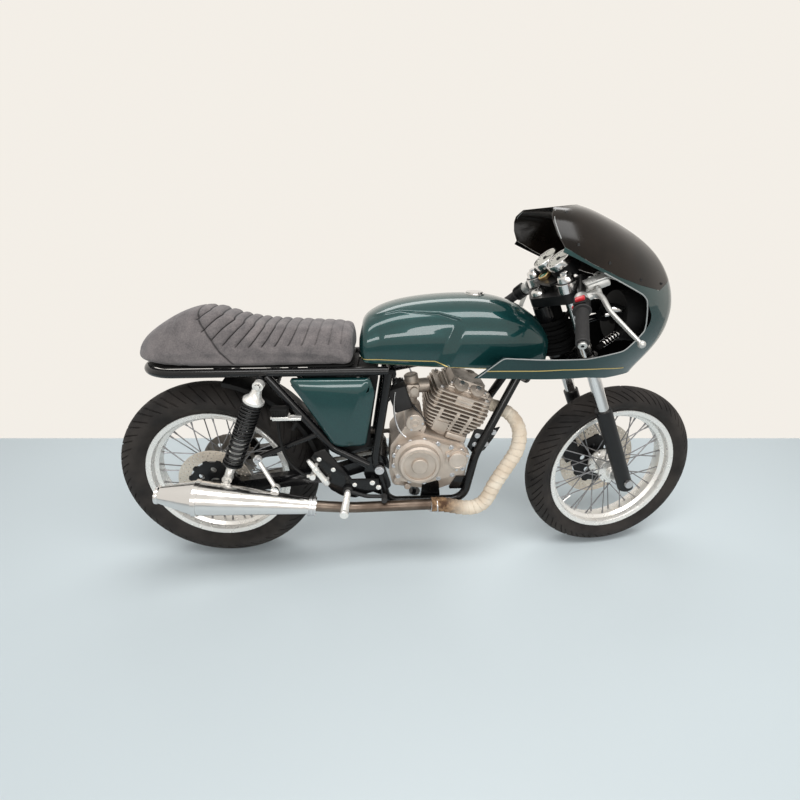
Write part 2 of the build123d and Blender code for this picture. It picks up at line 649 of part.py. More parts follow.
def foot_controls():
    """Rear-set footrests on their plates, with the brake pedal and the gear lever."""
    face = outline([(326, 440), (350, 478), (384, 486), (462, 372), (548, 372), (552, 330), (470, 300), (425, 310),
                    (392, 334)], 8)
    plate = side_plate(face, -PLATE_OUT, -PLATE_OUT + PLATE_THICK)
    for foot in PLATE_FEET:
        plate += drum(foot, -PLATE_OUT, -CRADLE_Y - 5, 10)
    peg = rod((PEG[0], -PLATE_OUT, PEG[1]), (PEG[0] - 4, -PEG_END, PEG[1] - 2), 11)
    collar = drum(PEG, -PLATE_OUT - 12, -PLATE_OUT, 17)
    arm = rod((PEG[0], -PLATE_OUT - 8, PEG[1]), (TOE[0], -PLATE_OUT - 8, TOE[1]), 6)
    toe = rod((TOE[0], -PLATE_OUT - 2, TOE[1]), (TOE[0], -TOE_END, TOE[1] + 4), 8)
    return both_sides(plate + peg + collar + arm + toe) - cradle_solids


def rear_master_cylinder():
    """Rear brake master cylinder on the right footrest plate, with its push rod."""
    y = -PLATE_OUT - 9
    top, foot = (CYLINDER_TOP[0], y, CYLINDER_TOP[1]), (CYLINDER_FOOT[0], y, CYLINDER_FOOT[1])
    axis = Plane(origin=top, z_dir=Vector(*foot) - Vector(*top), x_dir=(0, 1, 0))
    body = Pos(0, 0, 8) * Cylinder(8, 30, align=FROM_END) + Pos(0, 0, 36) * Cylinder(10, 70, align=FROM_END)
    body += Pos(0, 0, 106) * Cylinder(4, 14, align=FROM_END)
    return axis * body - foot_solids


def brake_reservoir():
    """Rear brake fluid reservoir on its bracket from the strut."""
    tray = Pos(RESERVOIR[0] + 14, -125, RESERVOIR[1]) * Box(86, 26, 8)
    cup = Pos(RESERVOIR[0] - 6, -125, RESERVOIR[1] + 4) * extrude(RectangleRounded(48, 30, 8), 26)
    spout = Pos(RESERVOIR[0] - 16, -125, RESERVOIR[1] - 12) * Cylinder(5, 12, align=FROM_END)
    return tray + cup + spout - rear_loop_solid


def silencer_hanger():
    """Alloy strap from the frame stay to the lug on the silencer."""
    top, foot = Vector(*HANGER_TOP) - Vector(0, 15, 0), Vector(*HANGER_FOOT)
    strap = rod(top, foot, 7)
    for end in (top, foot):
        strap += drum((end.X, end.Z), end.Y - 6, end.Y + 6, 13)
    return strap - rear_loop_solid - silencer_solid


# ---- steering, in the fork's frame -------------------------------------------------------------------------
def yoke_face(radius):
    """Plan outline of a yoke: stem boss and the two fork clamps."""
    rings = [CenterArc((0, 0), radius, 0, 360)]
    for side in SIDES:
        rings.append(CenterArc((FORK_OFFSET, side * FORK_SPREAD), STANCHION_R + 9, 0, 360))
    return make_hull(rings)


def legs(radius, low, high):
    """Matching pair of round bars on the two fork centre lines."""
    bars = []
    for side in SIDES:
        bars.append(Pos(FORK_OFFSET, side * FORK_SPREAD, low) * Cylinder(radius, high - low, align=FROM_END))
    return Part() + bars


def lower_yoke():
    """Lower yoke with the steering stem."""
    slab = Pos(0, 0, YOKE_LOW[0]) * extrude(yoke_face(28), YOKE_LOW[1] - YOKE_LOW[0])
    stem = Pos(0, 0, YOKE_LOW[0]) * Cylinder(STEM_R, YOKE_TOP[0] - YOKE_LOW[0], align=FROM_END)
    return slab + stem - legs(STANCHION_R, 0, 900)


def top_yoke():
    """Top yoke with the stem nut."""
    slab = Pos(0, 0, YOKE_TOP[0]) * extrude(yoke_face(30), YOKE_TOP[1] - YOKE_TOP[0])
    nut = Pos(0, 0, YOKE_TOP[1]) * Cylinder(19, 14, align=FROM_END)
    return slab + nut - legs(STANCHION_R, 0, 900)


def fork_stanchions():
    """Chromed inner tubes with their caps."""
    return legs(STANCHION_R, SLIDER_TOP - 60, STANCHION_TOP)


def fork_sliders():
    """Lower legs with axle lugs."""
    body = legs(SLIDER_R, -32, SLIDER_TOP) - legs(STANCHION_R, SLIDER_TOP - 60, SLIDER_TOP + 10)
    return body - Pos(FORK_OFFSET, 0, 0) * drum((0, 0), -200, 200, FRONT["axle"])


def front_axle():
    """Front spindle through both sliders."""
    pin = drum((0, 0), -FORK_SPREAD - SLIDER_R - 8, FORK_SPREAD + SLIDER_R + 8, FRONT["axle"])
    nut = drum((0, 0), -FORK_SPREAD - SLIDER_R - 8, -FORK_SPREAD - SLIDER_R, 14)
    spacer = drum((0, 0), -FORK_SPREAD + SLIDER_R, -FRONT["hub"] - 8 - SEAT_GAP, 12)
    return Pos(FORK_OFFSET, 0, 0) * (pin + both_sides(nut + spacer))


BAR_INNER = (84.0, -104.0, 731.0)
BAR_OUTER = (-58.0, -300.0, 640.0)
BAR_R = 11.0
GRIP_R = 16.5
GRIP_LENGTH = 128.0
CLAMP = (YOKE_TOP[1] + 0.5, YOKE_TOP[1] + 30)


def along_bar(distance):
    """Point on the right handlebar, measured back from its outer end."""
    start, end = Vector(*BAR_OUTER), Vector(*BAR_INNER)
    return start + (end - start).normalized() * distance


BAR_END_R = 4.0  # M8 thread in each bar's end
BAR_END_DEPTH = 20.0


def clip_ons():
    """Clip-on bars with their fork clamps."""
    clamp = Pos(FORK_OFFSET, -FORK_SPREAD, CLAMP[0]) * Cylinder(STANCHION_R + 8, CLAMP[1] - CLAMP[0], align=FROM_END)
    boss = rod((FORK_OFFSET, -FORK_SPREAD, (CLAMP[0] + CLAMP[1]) / 2), BAR_INNER, 13)
    bar = rod(BAR_INNER, BAR_OUTER, BAR_R) + Pos(*BAR_INNER) * Sphere(14)
    thread = rod(BAR_OUTER, along_bar(BAR_END_DEPTH), BAR_END_R)
    return both_sides(clamp + boss + bar - thread) - legs(STANCHION_R, 0, 900)


def grips():
    """Rubber grips over the outer ends of the bars."""
    sleeve = rod(along_bar(6), along_bar(GRIP_LENGTH), GRIP_R)
    return both_sides(sleeve - rod(BAR_INNER, BAR_OUTER, BAR_R))


def levers():
    """Brake master cylinder and clutch perch with their levers."""
    perch = rod(along_bar(GRIP_LENGTH + 32), along_bar(GRIP_LENGTH + 54), 17)
    root = along_bar(GRIP_LENGTH + 43)
    elbow = root + Vector(46, -14, 2)
    blade = tube([root + Vector(8, 0, 2), elbow, elbow + Vector(-20, -70, -34), elbow + Vector(0, -164, -92)], 6, [14, 60])
    ball = Pos(elbow + Vector(0, -164, -92)) * Sphere(8.5)
    return both_sides(perch + blade + ball - rod(BAR_INNER, BAR_OUTER, BAR_R))


def switch_pods():
    """Switch housings between the grips and the lever perches."""
    pod = rod(along_bar(GRIP_LENGTH + 1), along_bar(GRIP_LENGTH + 31), 20)
    return both_sides(pod - rod(BAR_INNER, BAR_OUTER, BAR_R))


def gauges():
    """Speedometer and rev counter on a bracket over the top yoke."""
    body = Part()
    for side in SIDES:
        body += Pos(86, side * 41, 746) * Rot(0, -20, 0) * Cylinder(38, 52, align=FROM_END)
    plate = Pos(60, 0, 739) * Box(90, 110, 6)
    for side in SIDES:
        plate += Pos(60, side * 35, YOKE_TOP[1]) * Cylinder(6, 27, align=FROM_END)
    return body + plate


def front_caliper():
    """Front brake caliper behind the left leg."""
    block = Pos(-45, FRONT_DISC_Y + 4, 95) * Box(60, 46, 84)
    lug = Pos(0, FORK_SPREAD - 9, 95) * Box(60, 10, 40)
    slot = Pos(FORK_OFFSET, 0, 0) * drum((0, 0), FRONT_DISC_Y - 6, FRONT_DISC_Y + 6, FRONT_DISC_R + 6)
    return block + lug - slot - legs(SLIDER_R, -50, 400)


# ---- side stand --------------------------------------------------------------------------------------------
STAND_PIVOT = (650.0, 136.0, 256.0)
STAND_FOOT = (700.0, 255.0)  # on the ground: x, and distance from the parked machine's tyre line
STAND_FOLDED = (-1.0, 0.12, 0.03)  # direction of the leg when it is up
STAND_R = 9.0
STAND_EYE = (15.0, 12.0)  # radius, width
STAND_PIN_R = 6.0


# ---- parking: lean, settle both tyres on the ground --------------------------------------------------------
def carried(location, point):
    """Where a point goes when its frame is moved."""
    return (location * Pos(*point)).position


def lowest(location, centre, wheel):
    """Height of a tyre's lowest point, for a wheel whose axle is Y in its own frame."""
    hub_at = carried(location, centre)
    axle = carried(location, (centre[0], centre[1] + 1, centre[2])) - hub_at
    ring = wheel["tyre"] - wheel["half"]
    return hub_at.Z - ring * sqrt(1 - axle.Z ** 2) - wheel["half"]


STEERED = FORK * Rot(0, 0, STEER_AT_REST)
FRONT_AXLE = (FORK_OFFSET, 0, 0)
REAR_AXLE = (0, 0, REAR["tyre"])
pitch = 0.0
for settle in range(4):
    parked = Rot(0, pitch, 0) * Rot(-LEAN, 0, 0)
    rise = lowest(parked * STEERED, FRONT_AXLE, FRONT) - lowest(parked, REAR_AXLE, REAR)
    pitch += degrees(atan2(rise, WHEELBASE))
parked = Rot(0, pitch, 0) * Rot(-LEAN, 0, 0)
parked = Pos(0, 0, -lowest(parked, REAR_AXLE, REAR)) * parked


def ground(x, beside):
    """Frame of a spot on the ground, carried back to the upright machine."""
    return parked.inverse() * Pos(x, carried(parked, (0, 0, 0)).Y + beside, 0)


stand_ankle = carried(ground(*STAND_FOOT), (0, 0, 5))
stand_down = (stand_ankle - Vector(*STAND_PIVOT)).normalized()
stand_up = Vector(*STAND_FOLDED).normalized()
STAND_AXIS = tuple(stand_down.cross(stand_up).normalized())
STAND_SWING = round(degrees(acos(stand_down.dot(stand_up))), 1)
STAND_HINGE = Plane(origin=STAND_PIVOT, z_dir=STAND_AXIS)


def stand_lug():
    """Lug on the left lower rail with the side stand's pivot pin."""
    radius, width = STAND_EYE
    boss = Pos(0, 0, -width / 2 - SEAT_GAP) * Cylinder(radius - 2, 26, align=(Align.CENTER, Align.CENTER, Align.MAX))
    pin = Pos(0, 0, -width) * Cylinder(STAND_PIN_R, 2 * width + 3, align=FROM_END)
    head = Pos(0, 0, width / 2 + SEAT_GAP) * Cylinder(STAND_PIN_R + 4, 5, align=FROM_END)
    return STAND_HINGE * (boss + pin + head)


def side_stand():
    """Stand leg from its eye on the pivot pin to its foot on the ground."""
    radius, width = STAND_EYE
    pad = ground(*STAND_FOOT) * Cylinder(24, 6, align=FROM_END)
    leg = rod(STAND_PIVOT, stand_ankle, STAND_R) + STAND_HINGE * Cylinder(radius, width)
    below = ground(*STAND_FOOT) * Box(200, 200, 50, align=(Align.CENTER, Align.CENTER, Align.MAX))
    bore = STAND_HINGE * Cylinder(STAND_PIN_R + FIT, 60)
    room = STAND_HINGE * Pos(0, 0, -width / 2) * Cylinder(radius + 1, 40, align=(Align.CENTER, Align.CENTER, Align.MAX))
    cap = STAND_HINGE * Pos(0, 0, width / 2) * Cylinder(radius + 1, 40, align=FROM_END)
    return leg + pad - below - bore - room - cap


# ---- assembly ----------------------------------------------------------------------------------------------
headstock_solid = headstock()
cradle_solids = Part() + [cradle(side) for side in SIDES]
rear_loop_solid = rear_loop()
battery_solid = battery_box()
chain_room = side_plate(chain_loop(CHAIN_HALF + CHAIN_ROOM), CHAIN_Y - CHAIN_WIDE - 4, CHAIN_Y + CHAIN_WIDE + 8)
crankcase_solid = crankcase()
cylinder_solid = cylinder()
head_solid = cylinder_head()
silencer_solid = silencer()
foot_solids = foot_controls()
shell_solid = fairing_shell()
headlamp_solid = headlamp()

at_rear = Pos(*REAR_AXLE)
at_front = STEERED * Pos(*FRONT_AXLE)
chassis = Location()

PIECES = {
    "headstock": (chassis, headstock_solid),
    "frame_cradle_right": (chassis, cradle(-1)),
    "frame_cradle_left": (chassis, cradle(1)),
    "frame_rear_loop": (chassis, rear_loop_solid),
    "swingarm": (chassis, swingarm()),
    "swingarm_pivot": (chassis, swingarm_pivot()),
    "rear_axle": (chassis, rear_axle()),
    "shock_dampers": (chassis, Part() + [shock(side)[0] for side in SIDES]),
    "shock_springs": (chassis, Part() + [shock(side)[1] for side in SIDES]),
    "fuel_tank": (chassis, fuel_tank()),
    "filler_cap": (chassis, filler_cap()),
    "seat": (chassis, seat()),
    "seat_pan": (chassis, seat_pan()),
    "side_covers": (chassis, Part() + [side_cover(side) for side in SIDES]),
    "battery_box": (chassis, battery_solid),
    "rear_fender": (chassis, rear_fender()),
    "fairing": (chassis, fairing()),
    "windscreen": (chassis, windscreen()),
    "headlamp": (chassis, headlamp_solid),
    "fairing_bracket": (chassis, fairing_bracket()),
    "crankcase": (chassis, crankcase_solid),
    "cylinder": (chassis, cylinder_solid),
    "cylinder_head": (chassis, head_solid),
    "engine_covers": (chassis, engine_covers()),
    "starter_motor": (chassis, starter_motor()),
    "carburettor": (chassis, carburettor()),
    "exhaust_header": (chassis, exhaust_header()),
    "silencer": (chassis, silencer_solid),
    "silencer_hanger": (chassis, silencer_hanger()),
    "drive_chain": (chassis, drive_chain()),
    "rear_caliper": (chassis, rear_caliper()),
    "foot_controls": (chassis, foot_solids),
    "rear_master_cylinder": (chassis, rear_master_cylinder()),
    "brake_reservoir": (chassis, brake_reservoir()),
    "rear_tyre": (at_rear, tyre(REAR)),
    "rear_rim": (at_rear, rim(REAR)),
    "rear_hub": (at_rear, hub(REAR)),
    "rear_disc": (at_rear, brake_disc(-REAR_DISC_Y, REAR_DISC_R, 44, 18)),
    "rear_sprocket": (at_rear, rear_sprocket()),
    "lower_yoke": (STEERED, lower_yoke()),
    "top_yoke": (STEERED, top_yoke()),
    "fork_stanchions": (STEERED, fork_stanchions()),
    "fork_sliders": (STEERED, fork_sliders()),
    "front_axle": (STEERED, front_axle()),
    "clip_ons": (STEERED, clip_ons()),
    "grips": (STEERED, grips()),
    "levers": (STEERED, levers()),
    "switch_pods": (STEERED, switch_pods()),
    "gauges": (STEERED, gauges()),
    "front_caliper": (STEERED, front_caliper()),
    "front_tyre": (at_front, tyre(FRONT)),
    "front_rim": (at_front, rim(FRONT)),
    "front_hub": (at_front, hub(FRONT)),
    "front_disc": (at_front, brake_disc(FRONT_DISC_Y, FRONT_DISC_R, 50, 17)),
    "side_stand": (chassis, side_stand()),
}

placed = {name: parked * frame * shape for name, (frame, shape) in PIECES.items()}
extent = placed["headstock"].bounding_box()
for shape in placed.values():
    extent = extent.add(shape.bounding_box())
centred = Pos(-extent.center().X, -extent.center().Y, -extent.min.Z)

os.makedirs("parts", exist_ok=True)
for name, shape in placed.items():
    export_step(centred * shape, f"parts/{name}.step")
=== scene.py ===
# %% [markdown]
# A cafe racer is a small road motorcycle stripped down for speed: low bars behind a nose fairing,
# a long tank, a single seat with a hump and wire wheels. The machine here is parked, so it leans to
# its left on the side stand. The solid frame of the object comes from the CAD model. This script
# gives each solid its finish and adds the parts that a solid modeller leaves out: tread, stitching,
# coils, cables, drilled discs and bolts.

# %% Load the frame
import json
from math import acos, atan2, cos, degrees, exp, hypot, pi, radians, sin, sqrt, tan, tau

import bmesh
import bpy
from mathutils import Matrix, Vector
from mathutils.bvhtree import BVHTree


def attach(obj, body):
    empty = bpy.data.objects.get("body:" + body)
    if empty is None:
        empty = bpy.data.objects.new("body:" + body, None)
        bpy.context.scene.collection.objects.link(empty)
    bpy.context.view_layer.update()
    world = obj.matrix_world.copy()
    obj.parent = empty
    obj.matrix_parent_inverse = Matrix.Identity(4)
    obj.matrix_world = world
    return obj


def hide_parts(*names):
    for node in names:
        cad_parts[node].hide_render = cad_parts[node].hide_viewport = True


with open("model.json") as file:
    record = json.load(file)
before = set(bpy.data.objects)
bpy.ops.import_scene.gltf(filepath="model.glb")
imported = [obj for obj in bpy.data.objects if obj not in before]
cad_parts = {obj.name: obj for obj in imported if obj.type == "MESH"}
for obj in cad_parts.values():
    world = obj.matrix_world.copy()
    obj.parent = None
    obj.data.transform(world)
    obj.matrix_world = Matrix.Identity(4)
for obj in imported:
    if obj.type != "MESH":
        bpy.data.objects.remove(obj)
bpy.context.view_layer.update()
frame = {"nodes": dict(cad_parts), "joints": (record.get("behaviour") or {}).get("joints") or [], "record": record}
NODES = frame["nodes"]

# %% [markdown]
# It is far easier to model a motorcycle upright, with X forward, Y to its left and the rear spindle
# above the origin, than leaning over. So every new piece is drawn upright in millimetres, and one
# matrix then carries it to where the parked machine stands. Pieces that turn with the handlebars
# have a second matrix, whose Z axis is the steering axis.

# %% Where the parked machine stands
MM = 0.001
LEAN, NOSE_DOWN = 9.0, 0.057423686542642724  # degrees
TYRE_REAR, TYRE_FRONT = 335.0, 311.3  # outer radii
FORK_FOOT = (1350.817950, 0, 292.648113)  # the steering axis at the level of the front spindle
RAKE, STEER = 24.9, 6.4  # degrees: the fork from the vertical, the handlebars to the left
FORK_OFFSET, FORK_SPREAD = 44.3, 99.0
JOINTS = {joint["name"]: joint for joint in frame["joints"]}


def turn(degrees_, axis):
    """Rotation matrix about a main axis."""
    return Matrix.Rotation(radians(degrees_), 4, axis)


LEANING = turn(NOSE_DOWN, "Y") @ turn(-LEAN, "X")
rear_spindle = Vector(JOINTS["rear_wheel_spin"]["pos_m"])
PARKED = Matrix.Translation(rear_spindle - LEANING @ Vector((0, 0, TYRE_REAR * MM))) @ LEANING
BIKE = PARKED @ Matrix.Scale(MM, 4)
HEADSTOCK = BIKE @ Matrix.Translation(FORK_FOOT) @ turn(-RAKE, "Y")
STEERED = HEADSTOCK @ turn(STEER, "Z")
REAR_WHEEL = BIKE @ Matrix.Translation((0, 0, TYRE_REAR))
FRONT_WHEEL = STEERED @ Matrix.Translation((FORK_OFFSET, 0, 0))
spindle_miss = (FRONT_WHEEL.translation - Vector(JOINTS["front_wheel_spin"]["pos_m"])).length
print("front spindle is off by", round(spindle_miss * 1000, 3), "mm")

# %% [markdown]
# The camera stands high on the machine's right, with a wide lens, and looks down at it. Its place
# was worked out upright as well, so it is carried over by the same matrix.

# %% Camera
LENS, FILM = 18.4, 36.0
VIEW_DOWN, VIEW_TURN = 23.49, 2.52  # degrees
CAMERA_AT = (0.5691, -1.2572, 1.1411)
down, across = radians(VIEW_DOWN), radians(VIEW_TURN)
look = Vector((sin(across) * cos(down), cos(across) * cos(down), -sin(down)))
side = Vector((cos(across), -sin(across), 0))
rise = side.cross(look)
camera_axes = Matrix((side, rise, -look)).transposed().to_4x4()
camera_data = bpy.data.cameras.new("camera")
camera_data.lens, camera_data.sensor_width = LENS, FILM
camera = bpy.data.objects.new("camera", camera_data)
bpy.context.scene.collection.objects.link(camera)
camera.matrix_world = PARKED @ Matrix.Translation(CAMERA_AT) @ camera_axes
bpy.context.scene.camera = camera
print("camera at", [round(v, 3) for v in camera.location])

# %% [markdown]
# A finish is a node tree on a Principled shader. Writing maths with nodes is slow to read, so a
# small class wraps a socket: `mask * 0.5 + 0.2` then adds its own Math nodes. Everything that isn't
# arithmetic goes through one method, `node`, which sets a node's settings first and its sockets next.

# %% Node maths
def maths(operation, swapped=False):
    """Operator that adds one Math node to the tree of the value it is used on."""
    def operator(self, other):
        first, second = (other, self) if swapped else (self, other)
        return self.paint.node("ShaderNodeMath", {"operation": operation}, {0: first, 1: second})
    return operator


class Value:
    """A socket that builds Math nodes when it is added, multiplied and so on."""

    def __init__(self, paint, socket):
        self.paint, self.socket = paint, socket

    __add__ = __radd__ = maths("ADD")
    __mul__ = __rmul__ = maths("MULTIPLY")
    __sub__, __rsub__ = maths("SUBTRACT"), maths("SUBTRACT", swapped=True)
    __gt__ = maths("GREATER_THAN")


class Finish:
    """One material: a Principled shader with its constants, and what is linked to it."""

    def __init__(self, name, color, rough, metal=0.0, **sockets):
        self.material = bpy.data.materials.new(name)
        self.material.use_nodes = True
        self.tree = self.material.node_tree
        self.shader = self.tree.nodes["Principled BSDF"]
        self.shader.inputs["Base Color"].default_value = (*color, 1)
        self.shader.inputs["Roughness"].default_value = rough
        self.shader.inputs["Metallic"].default_value = metal
        for socket, value in sockets.items():
            self.shader.inputs[socket.replace("_", " ")].default_value = value

    def put(self, value, socket):
        if isinstance(value, Value):
            self.tree.links.new(value.socket, socket)
        elif isinstance(value, tuple) and socket.type == "RGBA":
            socket.default_value = (*value, 1)
        else:
            socket.default_value = value

    def node(self, kind, settings, sockets, out=0):
        made = self.tree.nodes.new(kind)
        for name, value in settings.items():
            setattr(made, name, value)
        for name, value in sockets.items():
            self.put(value, made.inputs[name])
        return Value(self, made.outputs[out])

    def feed(self, **sockets):
        for name, value in sockets.items():
            self.put(value, self.shader.inputs[name.replace("_", " ")])
        return self

    def place(self):
        return self.node("ShaderNodeTexCoord", {}, {}, "Object")

    def noise(self, scale, detail):
        return self.node("ShaderNodeTexNoise", {}, {"Vector": self.place(), "Scale": scale, "Detail": detail})

    def upright(self):
        """Object coordinates turned back to the upright machine, in metres."""
        place = {"Location": tuple(PARKED.translation), "Rotation": tuple(PARKED.to_euler())}
        return self.node("ShaderNodeMapping", {"vector_type": "TEXTURE"}, {"Vector": self.place(), **place})

    def along(self, axis):
        """One of those coordinates: 0 forward, 1 to the left, 2 up."""
        return self.node("ShaderNodeSeparateXYZ", {}, {"Vector": self.upright()}, axis)

    def mix(self, mask, first, second):
        """Colour that goes from the first to the second as the mask goes from 0 to 1."""
        return self.node("ShaderNodeMix", {"data_type": "RGBA"}, {0: mask, 6: first, 7: second}, 2)

    def ramp(self, value, low, high):
        """The value stretched so that low becomes 0 and high becomes 1, and clamped."""
        return self.node("ShaderNodeMapRange", {}, {"Value": value, "From Min": low, "From Max": high})

    def bump(self, height, depth, strength):
        made = self.node("ShaderNodeBump", {}, {"Height": height, "Distance": depth, "Strength": strength})
        return self.feed(Normal=made)


FINISH = {}
print("node maths ready")

# %% [markdown]
# The hard finishes come first. The paint is a dark metallic green-blue under clear lacquer: fine
# noise stands in for the flakes, and a wide, faint bump gives the lacquer its slight ripple. Black
# parts differ only in gloss. Chrome is a mirror whose only colour is what it reflects, so it gets a
# little uneven roughness, as wiped metal has.

# %% Paint, plastic and metal
def finish(name, color, rough, metal=0.0, **sockets):
    FINISH[name] = Finish(name, color, rough, metal, **sockets)
    return FINISH[name]


def wiped_finish(name, color, metal, rough, spread, grain=0.0, **sockets):
    """Finish whose roughness varies as on a wiped surface, perhaps with a fine grain."""
    paint = finish(name, color, rough, metal, **sockets)
    smudge = paint.ramp(paint.noise(22, 4), 0.35, 0.7)
    paint.feed(Roughness=smudge * spread + rough)
    if grain:
        paint.bump(paint.noise(420, 3), 0.0004, grain)
    return paint


def tinted(paint, dark, light, scale):
    """Colour that drifts between two shades in soft patches."""
    return paint.feed(Base_Color=paint.mix(paint.ramp(paint.noise(scale, 4), 0.35, 0.65), dark, light))


def flakes(paint, dark, light):
    """Colour of metallic flakes under lacquer, with the lacquer's ripple as a bump."""
    paint.bump(paint.noise(45, 2), 0.0006, 0.12)
    speck = paint.ramp(paint.noise(900, 2), 0.42, 0.62)
    cloud = paint.ramp(paint.noise(5, 2), 0.3, 0.7)
    return paint.mix(speck * 0.6 + cloud * 0.4, dark, light)


TEAL = (0.01, 0.05, 0.055)
LACQUER = dict(Coat_Roughness=0.03, Specular_IOR_Level=0.05)
teal = finish("teal_paint", TEAL, 0.34, 0.35, Coat_Weight=0.95, Coat_IOR=1.55, **LACQUER)
teal.feed(Base_Color=flakes(teal, (0.0035, 0.03, 0.031), (0.012, 0.068, 0.066)))

# the fairing is painted outside and dull black inside: outside is where the face looks away from its middle
shell = finish("fairing_paint", TEAL, 0.34, 0.3, Coat_Weight=0.9, Coat_IOR=1.45, **LACQUER)
FAIRING_MIDDLE = PARKED @ Vector((1.0, 0, 0.9))
from_middle = {0: shell.place(), 1: tuple(FAIRING_MIDDLE)}
outwards = shell.node("ShaderNodeVectorMath", {"operation": "SUBTRACT"}, from_middle)
normal = shell.node("ShaderNodeTexCoord", {}, {}, "Normal")
both = {0: outwards, 1: normal}
outside = shell.node("ShaderNodeVectorMath", {"operation": "DOT_PRODUCT"}, both, "Value") > 0.0
painted = flakes(shell, (0.003, 0.024, 0.025), (0.01, 0.056, 0.054))
shell.feed(Base_Color=shell.mix(outside, (0.004, 0.004, 0.004), painted),
           Coat_Weight=outside * 0.9, Metallic=outside * 0.3, Roughness=outside * -0.6 + 0.94)

screen = wiped_finish("smoked_screen", (0.01, 0.007, 0.005), 0.0, 0.1, 0.12,
                      Coat_Weight=0.2, Coat_Roughness=0.14, Specular_IOR_Level=0.1)
tinted(screen, (0.005, 0.0035, 0.0025), (0.016, 0.011, 0.008), 8)
wiped_finish("frame_black", (0.005, 0.005, 0.0055), 0.0, 0.2, 0.16,
             Coat_Weight=0.35, Coat_Roughness=0.06, Specular_IOR_Level=0.2)
wiped_finish("black_metal", (0.008, 0.008, 0.0085), 0.0, 0.3, 0.2, 0.1, Specular_IOR_Level=0.35)
wiped_finish("spring_black", (0.006, 0.006, 0.0065), 0.0, 0.25, 0.2, Coat_Weight=0.3, Specular_IOR_Level=0.2)
wiped_finish("black_plastic", (0.007, 0.007, 0.007), 0.0, 0.45, 0.2, 0.15, Specular_IOR_Level=0.22)
wiped_finish("dull_black", (0.004, 0.004, 0.004), 0.0, 0.8, 0.15, Specular_IOR_Level=0.08)
chrome = wiped_finish("chrome", (0.74, 0.73, 0.72), 1.0, 0.12, 0.12)
chrome.bump(chrome.noise(11, 3), 0.004, 0.35)
wiped_finish("spoke_steel", (0.26, 0.26, 0.27), 1.0, 0.28, 0.15)
wiped_finish("polished_alloy", (0.88, 0.86, 0.82), 0.55, 0.18, 0.2, 0.04)
wiped_finish("satin_silver", (0.52, 0.52, 0.5), 0.7, 0.38, 0.15, 0.08)
wiped_finish("bright_steel", (0.56, 0.56, 0.57), 1.0, 0.24, 0.2, 0.06)
wiped_finish("disc_steel", (0.68, 0.61, 0.52), 0.6, 0.28, 0.16, 0.08)
wiped_finish("chain_steel", (0.22, 0.2, 0.18), 1.0, 0.36, 0.25, 0.1)
alloy = wiped_finish("engine_alloy", (0.5, 0.43, 0.37), 0.5, 0.36, 0.2, 0.3)
tinted(alloy, (0.45, 0.385, 0.325), (0.62, 0.54, 0.465), 14)
link_steel = wiped_finish("link_steel", (0.15, 0.12, 0.1), 1.0, 0.3, 0.25)
tinted(link_steel, (0.085, 0.062, 0.048), (0.2, 0.16, 0.13), 12)
wiped_finish("brass", (0.6, 0.42, 0.2), 1.0, 0.25, 0.2)
wiped_finish("gold_line", (0.62, 0.47, 0.16), 0.2, 0.3, 0.1)
wiped_finish("grip_rubber", (0.022, 0.021, 0.021), 0.0, 0.7, 0.15, 0.3)
wiped_finish("red_plastic", (0.55, 0.012, 0.02), 0.0, 0.25, 0.15)
wiped_finish("dial_white", (0.8, 0.77, 0.68), 0.0, 0.3, 0.15, Coat_Weight=0.5)
wiped_finish("dial_green", (0.02, 0.2, 0.1), 0.0, 0.25, 0.15, Coat_Weight=0.6)
# pale grey of the edge beads: a painted highlight, the light that the edges of the fairing's opening and of the
# screen catch
finish("edge_trim", (0.35, 0.36, 0.35), 0.5)
finish("pale_cable", (0.55, 0.54, 0.5), 0.45)

# the lamp's solid is glass in front of this plane and a black bucket behind it
BUCKET_FRONT = 1.402
GLASS, BLACK = (0.55, 0.57, 0.58), (0.005, 0.005, 0.005)
wiped_finish("lamp_glass", GLASS, 0.6, 0.04, 0.05, Coat_Weight=1.0)
bucket = finish("lamp_and_bucket", GLASS, 0.05, 0.6)
glazed = bucket.ramp(bucket.along(0), BUCKET_FRONT, BUCKET_FRONT + 0.004)
bucket.feed(Base_Color=bucket.mix(glazed, BLACK, GLASS), Metallic=glazed * 0.6,
            Roughness=glazed * -0.8 + 0.86, Coat_Weight=glazed)
lens = finish("lens_glass", (0.6, 0.62, 0.63), 0.08, 0.75, Coat_Weight=1.0)
# painted light and shade: the lens's colour runs in pale and dark stripes along its flutes, standing in for the
# light that the flutes break up; the bump gives the flutes themselves
flutes = lens.node("ShaderNodeTexWave", {"bands_direction": "Y"}, {"Vector": lens.upright(), "Scale": 35.0})
lens.feed(Base_Color=lens.mix(lens.ramp(flutes, 0.2, 0.8), (0.34, 0.36, 0.37), (0.8, 0.82, 0.83)))
lens.bump(flutes, 0.002, 0.8)
print(len(FINISH), "hard finishes")

# %% [markdown]
# Rubber, suede, and the woven tape round the exhaust are told apart by their surface. Tyre rubber is
# dull with a brown bloom. Suede has a short nap that catches light at a glancing angle, which is what
# the sheen of the shader does. The exhaust tape is a herringbone of glass fibre, cream when it is
# clean and brown where the pipe is hottest and where the road throws dirt.

# %% Rubber, suede and exhaust tape
rubber = wiped_finish("tyre", (0.012, 0.011, 0.01), 0.0, 0.7, 0.2, 0.35, Specular_IOR_Level=0.22)
tinted(rubber, (0.018, 0.0165, 0.016), (0.043, 0.037, 0.033), 9)

